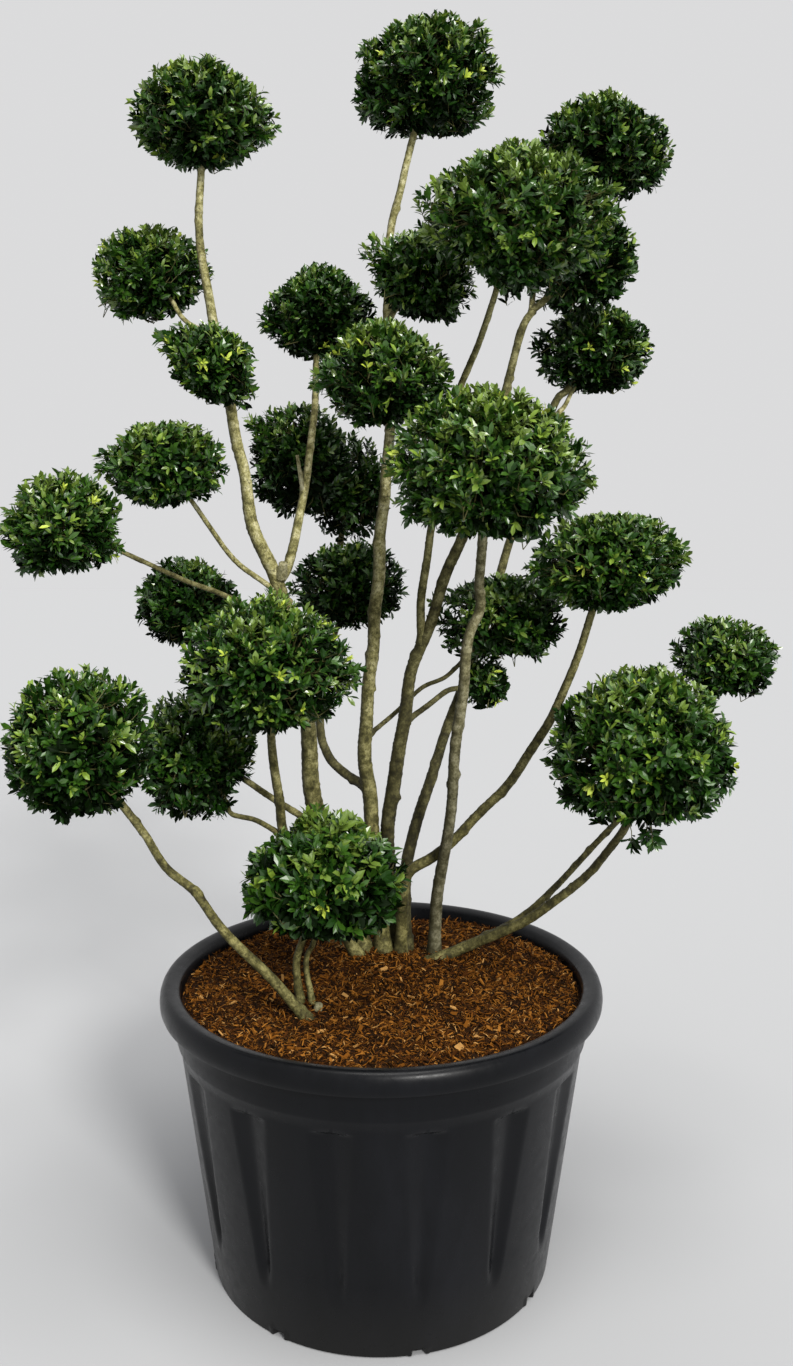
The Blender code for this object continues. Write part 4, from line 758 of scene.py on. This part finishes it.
def evenDirections(count, rng):
    k = np.arange(count)
    z = 1 - (2 * k + 1) / count
    turn = k * goldenAngle + rng.uniform(-0.2, 0.2, count)
    flat = np.sqrt(1 - z * z)
    jitter = rng.normal(0, 0.45 / math.sqrt(count), (count, 3))
    return unit(np.stack([flat * np.cos(turn), flat * np.sin(turn), z], -1) + jitter)


def lumpiness(directions, rng):
    total = np.zeros(len(directions))
    for _ in range(8):
        axis = unit(rng.normal(0, 1, 3))
        total += np.cos(rng.uniform(3.0, 9.0) * (directions @ axis) + rng.uniform(0, 6.3))
    return np.clip(total / 3.0, -1, 1)


def spindles(starts, ends, thick, thin):
    # tapering twigs without end faces
    sides = foliage["twigSides"]
    ahead = unit(ends - starts)
    side = unit(np.cross(ahead, np.array([0.31, 0.57, 0.76])))
    ring = around(side[:, None], np.cross(ahead, side)[:, None], fullTurn(sides)[:, None])
    points = np.concatenate([starts[:, None] + ring * thick, ends[:, None] + ring * thin], 1)
    k = np.arange(sides)
    return points, np.stack([k, (k + 1) % sides, sides + (k + 1) % sides, sides + k], -1)


def growLeaves(name, layer, tips, headings, tint, rng):
    # leaves in a spiral up each shoot, wide apart at its foot and gathered in a rosette at its tip
    s, cloud = foliage, clouds[name]
    shoots, each = len(tips), layer["leaves"]
    heart = cloudFrame(name)[0]
    lean = unit(tips - heart)[:, 2]
    up = 0.08 + 0.92 * ((np.arange(each) + 0.6) / each) ** 0.85
    length = layer["shoot"] * rng.uniform(0.75, 1.2, (shoots, 1))
    roots = tips[:, None] - headings[:, None] * (length * (1 - up))[..., None]
    side = unit(np.cross(headings, rng.normal(0, 1, (shoots, 3))))
    across = np.cross(headings, side)
    turn = np.arange(each) * goldenAngle + rng.uniform(0, 6.3, (shoots, 1))
    turn = turn + rng.normal(0, 0.2, (shoots, each))
    opening = np.radians(72 - 40 * up) + rng.normal(0, 0.20, (shoots, each))
    outward = around(side[:, None], across[:, None], turn[..., None])
    ahead = around(headings[:, None], outward, opening[..., None])
    ahead = unit(ahead + np.array([0, 0, 0.10]))
    face = unit(headings[:, None] + np.array([0, 0, 0.5]) + rng.normal(0, 0.28, (shoots, each, 3)))
    width = unit(np.cross(face, ahead))
    lift = np.cross(ahead, width)
    size = s["leafLength"] * layer["scale"] * cloud["leaf"] * rng.uniform(0.70, 1.30, (shoots, each))
    size *= (1.06 - 0.30 * up ** 3) * rng.uniform(0.85, 1.15, (shoots, 1))

    # tones run from old leaves at a shoot's foot to newer ones at its tip, with painted shade deep in a
    # cloud and on shaded clouds and painted light towards the crown
    t = s["tone"]
    light = (t["usual"] - t["deep"] * layer["deep"] - t["shade"] * cloud["shade"] + tint[:, None]
             + t["crown"] * lean[:, None] + t["tip"] * (up - 0.60))
    light = light + rng.normal(0, t["shoots"], (shoots, 1)) + rng.normal(0, t["leaves"], (shoots, each))
    tone = np.clip(np.round(light), 0, 3).astype(int)
    pick = rng.uniform(0, 1, shoots)
    young = cloud["young"] * (1 + 0.8 * lean) * (layer["deep"] == 0)
    paler = (pick < s["palerShoots"] * young)[:, None] & (up > 0.80)
    fresh = (pick < s["newShoots"] * young)[:, None] & (up > 0.60)
    tone = np.where(fresh, np.where(up > 0.74, 5, 4), np.where(paler, 4, tone))
    size = np.where(fresh, size * 0.88, size)

    roots, ahead, width, lift = [a.reshape(-1, 3) for a in (roots, ahead, width, lift)]
    size, tone = size.reshape(-1, 1), tone.reshape(-1)
    form = (deepForm if layer["deep"] == 1 else leafForm) * size[:, None]
    wide = s["leafWidth"] * rng.uniform(0.84, 1.16, (len(size), 1, 1))
    points = (roots[:, None] + ahead[:, None] * form[..., 0:1]
              + width[:, None] * form[..., 1:2] * wide + lift[:, None] * form[..., 2:3])
    return points, tone


def keepInSpace(name, points, limbPoints, limit):
    # a leaf that leaves its cloud, comes nearer to another one or touches a limb isn't grown
    s = foliage
    probes = points[:, [1, 2], :]
    own = cloudShare(name, probes)
    good = (own < limit).all(1)
    for other in clouds:
        apart = np.array(clouds[other]["middle"]) - np.array(clouds[name]["middle"])
        if other != name and np.linalg.norm(apart) < s["neighbourReach"]:
            good &= (cloudShare(other, probes) > np.minimum(own, 1.0) + s["neighbourMargin"]).all(1)
    heart, half = cloudFrame(name)[:2]
    near = limbPoints[(np.abs(limbPoints[:, :3] - heart) < half + s["limbReach"]).all(1)]
    for start in range(0, len(near), 40):
        some = near[start:start + 40]
        gap = np.linalg.norm(probes[:, :, None] - some[:, :3], axis=-1) - some[:, 3]
        good &= (gap > s["limbMargin"]).all((1, 2))
    return good


def shootPlaces(name, layer, sprays, lumpSeed, rng):
    # shoots stand in sprays, highest in the middle of each, with a dip between one spray and the next
    s = foliage
    heart, half = cloudFrame(name)[:2]
    count = max(12, round(cloudArea(name) * (sum(layer["reach"]) / 2) ** 2 / layer["spacing"] ** 2))
    directions = evenDirections(count, rng)
    nearest = np.argmax(directions @ sprays["towards"].T, 1)
    middle = sprays["towards"][nearest]
    apart = np.linalg.norm(directions - middle, axis=1) * np.mean(half) / s["spraySpacing"]
    lump = lumpiness(directions, np.random.default_rng(lumpSeed))
    fall = np.minimum(apart / 0.6, 1.2) ** 2
    swell = sprays["rise"][nearest] - s["sprayDip"] * fall - s["lumps"] * (0.5 - 0.5 * lump)
    tips = cloudPoint(name, directions, rng.uniform(*layer["reach"], count) + swell * (1 - layer["deep"]))
    headings = unit(unit(tips - heart) * 0.40 + middle * 0.45 + sprays["sway"][nearest]
                    + np.array([0, 0, 0.28]) + rng.normal(0, 0.26, (count, 3)))
    # each spray's random tint, with painted shade on the leaves in the dips between sprays
    return tips, headings, sprays["tint"][nearest] - 0.35 * fall + 0.15


def tuftPlaces(name, rng):
    heart = cloudFrame(name)[0]
    tips = np.zeros((0, 3))
    for angle, reach in clouds[name]["tufts"]:
        turn = np.radians(angle) + rng.normal(0, 0.11, foliage["tuftShoots"])
        depth = rng.normal(-0.15, 0.16, foliage["tuftShoots"])
        directions = unit(np.stack([np.cos(turn), depth, np.sin(turn)], -1))
        share = reach - rng.uniform(0, 0.09, len(turn))
        tips = np.concatenate([tips, cloudPoint(name, directions, share)])
    return tips, unit(unit(tips - heart) + rng.normal(0, 0.22, tips.shape)), np.full(len(tips), 0.3)


def buildCloud(name, materials, limbPoints, rng):
    s = foliage
    heart = cloudFrame(name)[0]
    lumpSeed = rng.integers(1 << 30)
    count = max(8, round(cloudArea(name) / s["spraySpacing"] ** 2))
    sprays = {"towards": evenDirections(count, rng), "rise": rng.normal(0, s["sprayRise"], count),
              "tint": rng.normal(0, s["sprayTint"], count), "sway": rng.normal(0, 0.16, (count, 3))}
    boughDirections = evenDirections(s["boughs"], rng)
    boughEnds = cloudPoint(name, boughDirections, rng.uniform(0.45, 0.58, s["boughs"]))
    twigs = [(heart + (boughEnds - heart) * 0.05, boughEnds, *s["boughTwig"])]
    grown, tones = [], []
    for layer in s["layers"]:
        groups = [(*shootPlaces(name, layer, sprays, lumpSeed, rng), s["edge"])]
        if layer["deep"] == 0:
            groups.append((*tuftPlaces(name, rng), s["tuftEdge"]))
        for tips, headings, tint, limit in groups:
            leaves, tone = growLeaves(name, layer, tips, headings, tint, rng)
            good = keepInSpace(name, leaves, limbPoints, limit)
            pattern = deepFaces if layer["deep"] == 1 else leafFaces
            grown.append((leaves[good], pattern))
            tones.append(np.repeat(tone[good], len(pattern)))
            # a shoot shows only where it kept most of its leaves
            alive = good.reshape(-1, layer["leaves"]).mean(1) > s["aliveShare"]
            feet = tips - headings * layer["shoot"] * 0.95
            twigs.append((feet[alive], tips[alive] - headings[alive] * 0.004, *s["shootTwig"]))
            if layer["deep"] < 1:
                nearest = np.argmax(unit(feet - heart) @ boughDirections.T, 1)
                twigs.append((boughEnds[nearest][alive], feet[alive], *s["branchTwig"]))
    piece = buildMesh("leaves_" + name, *joinPieces(grown), materials, np.concatenate(tones))
    place(piece, "leaves", "cloud_" + name)
    return piece, twigs


def buildFoliage(limbPoints):
    materials = [plainMaterial(*tone) for tone in leafTones]
    triangles, groups = 0, []
    for index, name in enumerate(clouds):
        rng = np.random.default_rng(foliage["seed"] + index)
        piece, twigs = buildCloud(name, materials, limbPoints, rng)
        triangles += len(piece.data.polygons)
        groups += [spindles(*twig) for twig in twigs]
    # green-brown first-year wood
    twigWood = plainMaterial("young_twig_bark", "#4b4a26", 0.7, 0.3)
    piece = buildMesh("twigs", *joinPieces(groups), [twigWood])
    place(piece, "bark", *["cloud_" + name for name in clouds])
    print("foliage:", triangles, "leaf triangles,", 2 * len(piece.data.polygons), "twig triangles")


# studio: a pale floor that meets an even sky, a soft sun from the front right and a wide one overhead

studio = {
    "floorSize": 30.0, "floor": ("pale_floor", "#adaeb0", 0.90, 0.0),
    "sky": "#f2f2f3", "skyStrength": 0.80, "sunColour": (1.0, 0.985, 0.95),
    # energy, spread in degrees and heading of each sun
    "suns": {"key": (3.0, 12.0, (-0.45, 1.0, -0.62)), "overhead": (1.7, 30.0, (-0.10, 0.25, -1.0))},
}
view = {"place": (0.0266, -2.2, 1.343), "lens": 32.3, "sensor": 36.0, "shiftY": -0.1377}


def buildStudio():
    half = studio["floorSize"] / 2
    points = np.array([(-half, -half, 0), (half, -half, 0), (half, half, 0), (-half, half, 0)])
    floor = buildMesh("floor", points, np.array([[0, 1, 2, 3]]), [plainMaterial(*studio["floor"])])
    world = bpy.data.worlds.new("studio")
    world.use_nodes = True
    background = world.node_tree.nodes["Background"]
    background.inputs["Color"].default_value = toLinear(studio["sky"])
    background.inputs["Strength"].default_value = studio["skyStrength"]
    bpy.context.scene.world = world
    for name, (energy, spread, towards) in studio["suns"].items():
        data = bpy.data.lights.new(name, "SUN")
        data.energy = energy
        data.angle = math.radians(spread)
        data.color = studio["sunColour"]
        lamp = bpy.data.objects.new(name, data)
        lamp.rotation_euler = Vector(towards).to_track_quat("-Z", "Y").to_euler()
        bpy.context.scene.collection.objects.link(lamp)
    bpy.context.scene.view_settings.view_transform = "Standard"


def buildCamera():
    data = bpy.data.cameras.new("camera")
    data.sensor_width = view["sensor"]
    data.lens = view["lens"]
    data.shift_y = view["shiftY"]
    camera = bpy.data.objects.new("camera", data)
    camera.location = view["place"]
    camera.rotation_euler = (math.radians(90), 0, 0)
    bpy.context.scene.collection.objects.link(camera)
    bpy.context.scene.camera = camera


buildPot()
print("pot done")
buildMulch()
print("mulch done")
limbPoints = buildLimbs()
print("limbs done")
buildFoliage(limbPoints)
buildStudio()
buildCamera()
print("studio done")

bpy.context.view_layer.update()
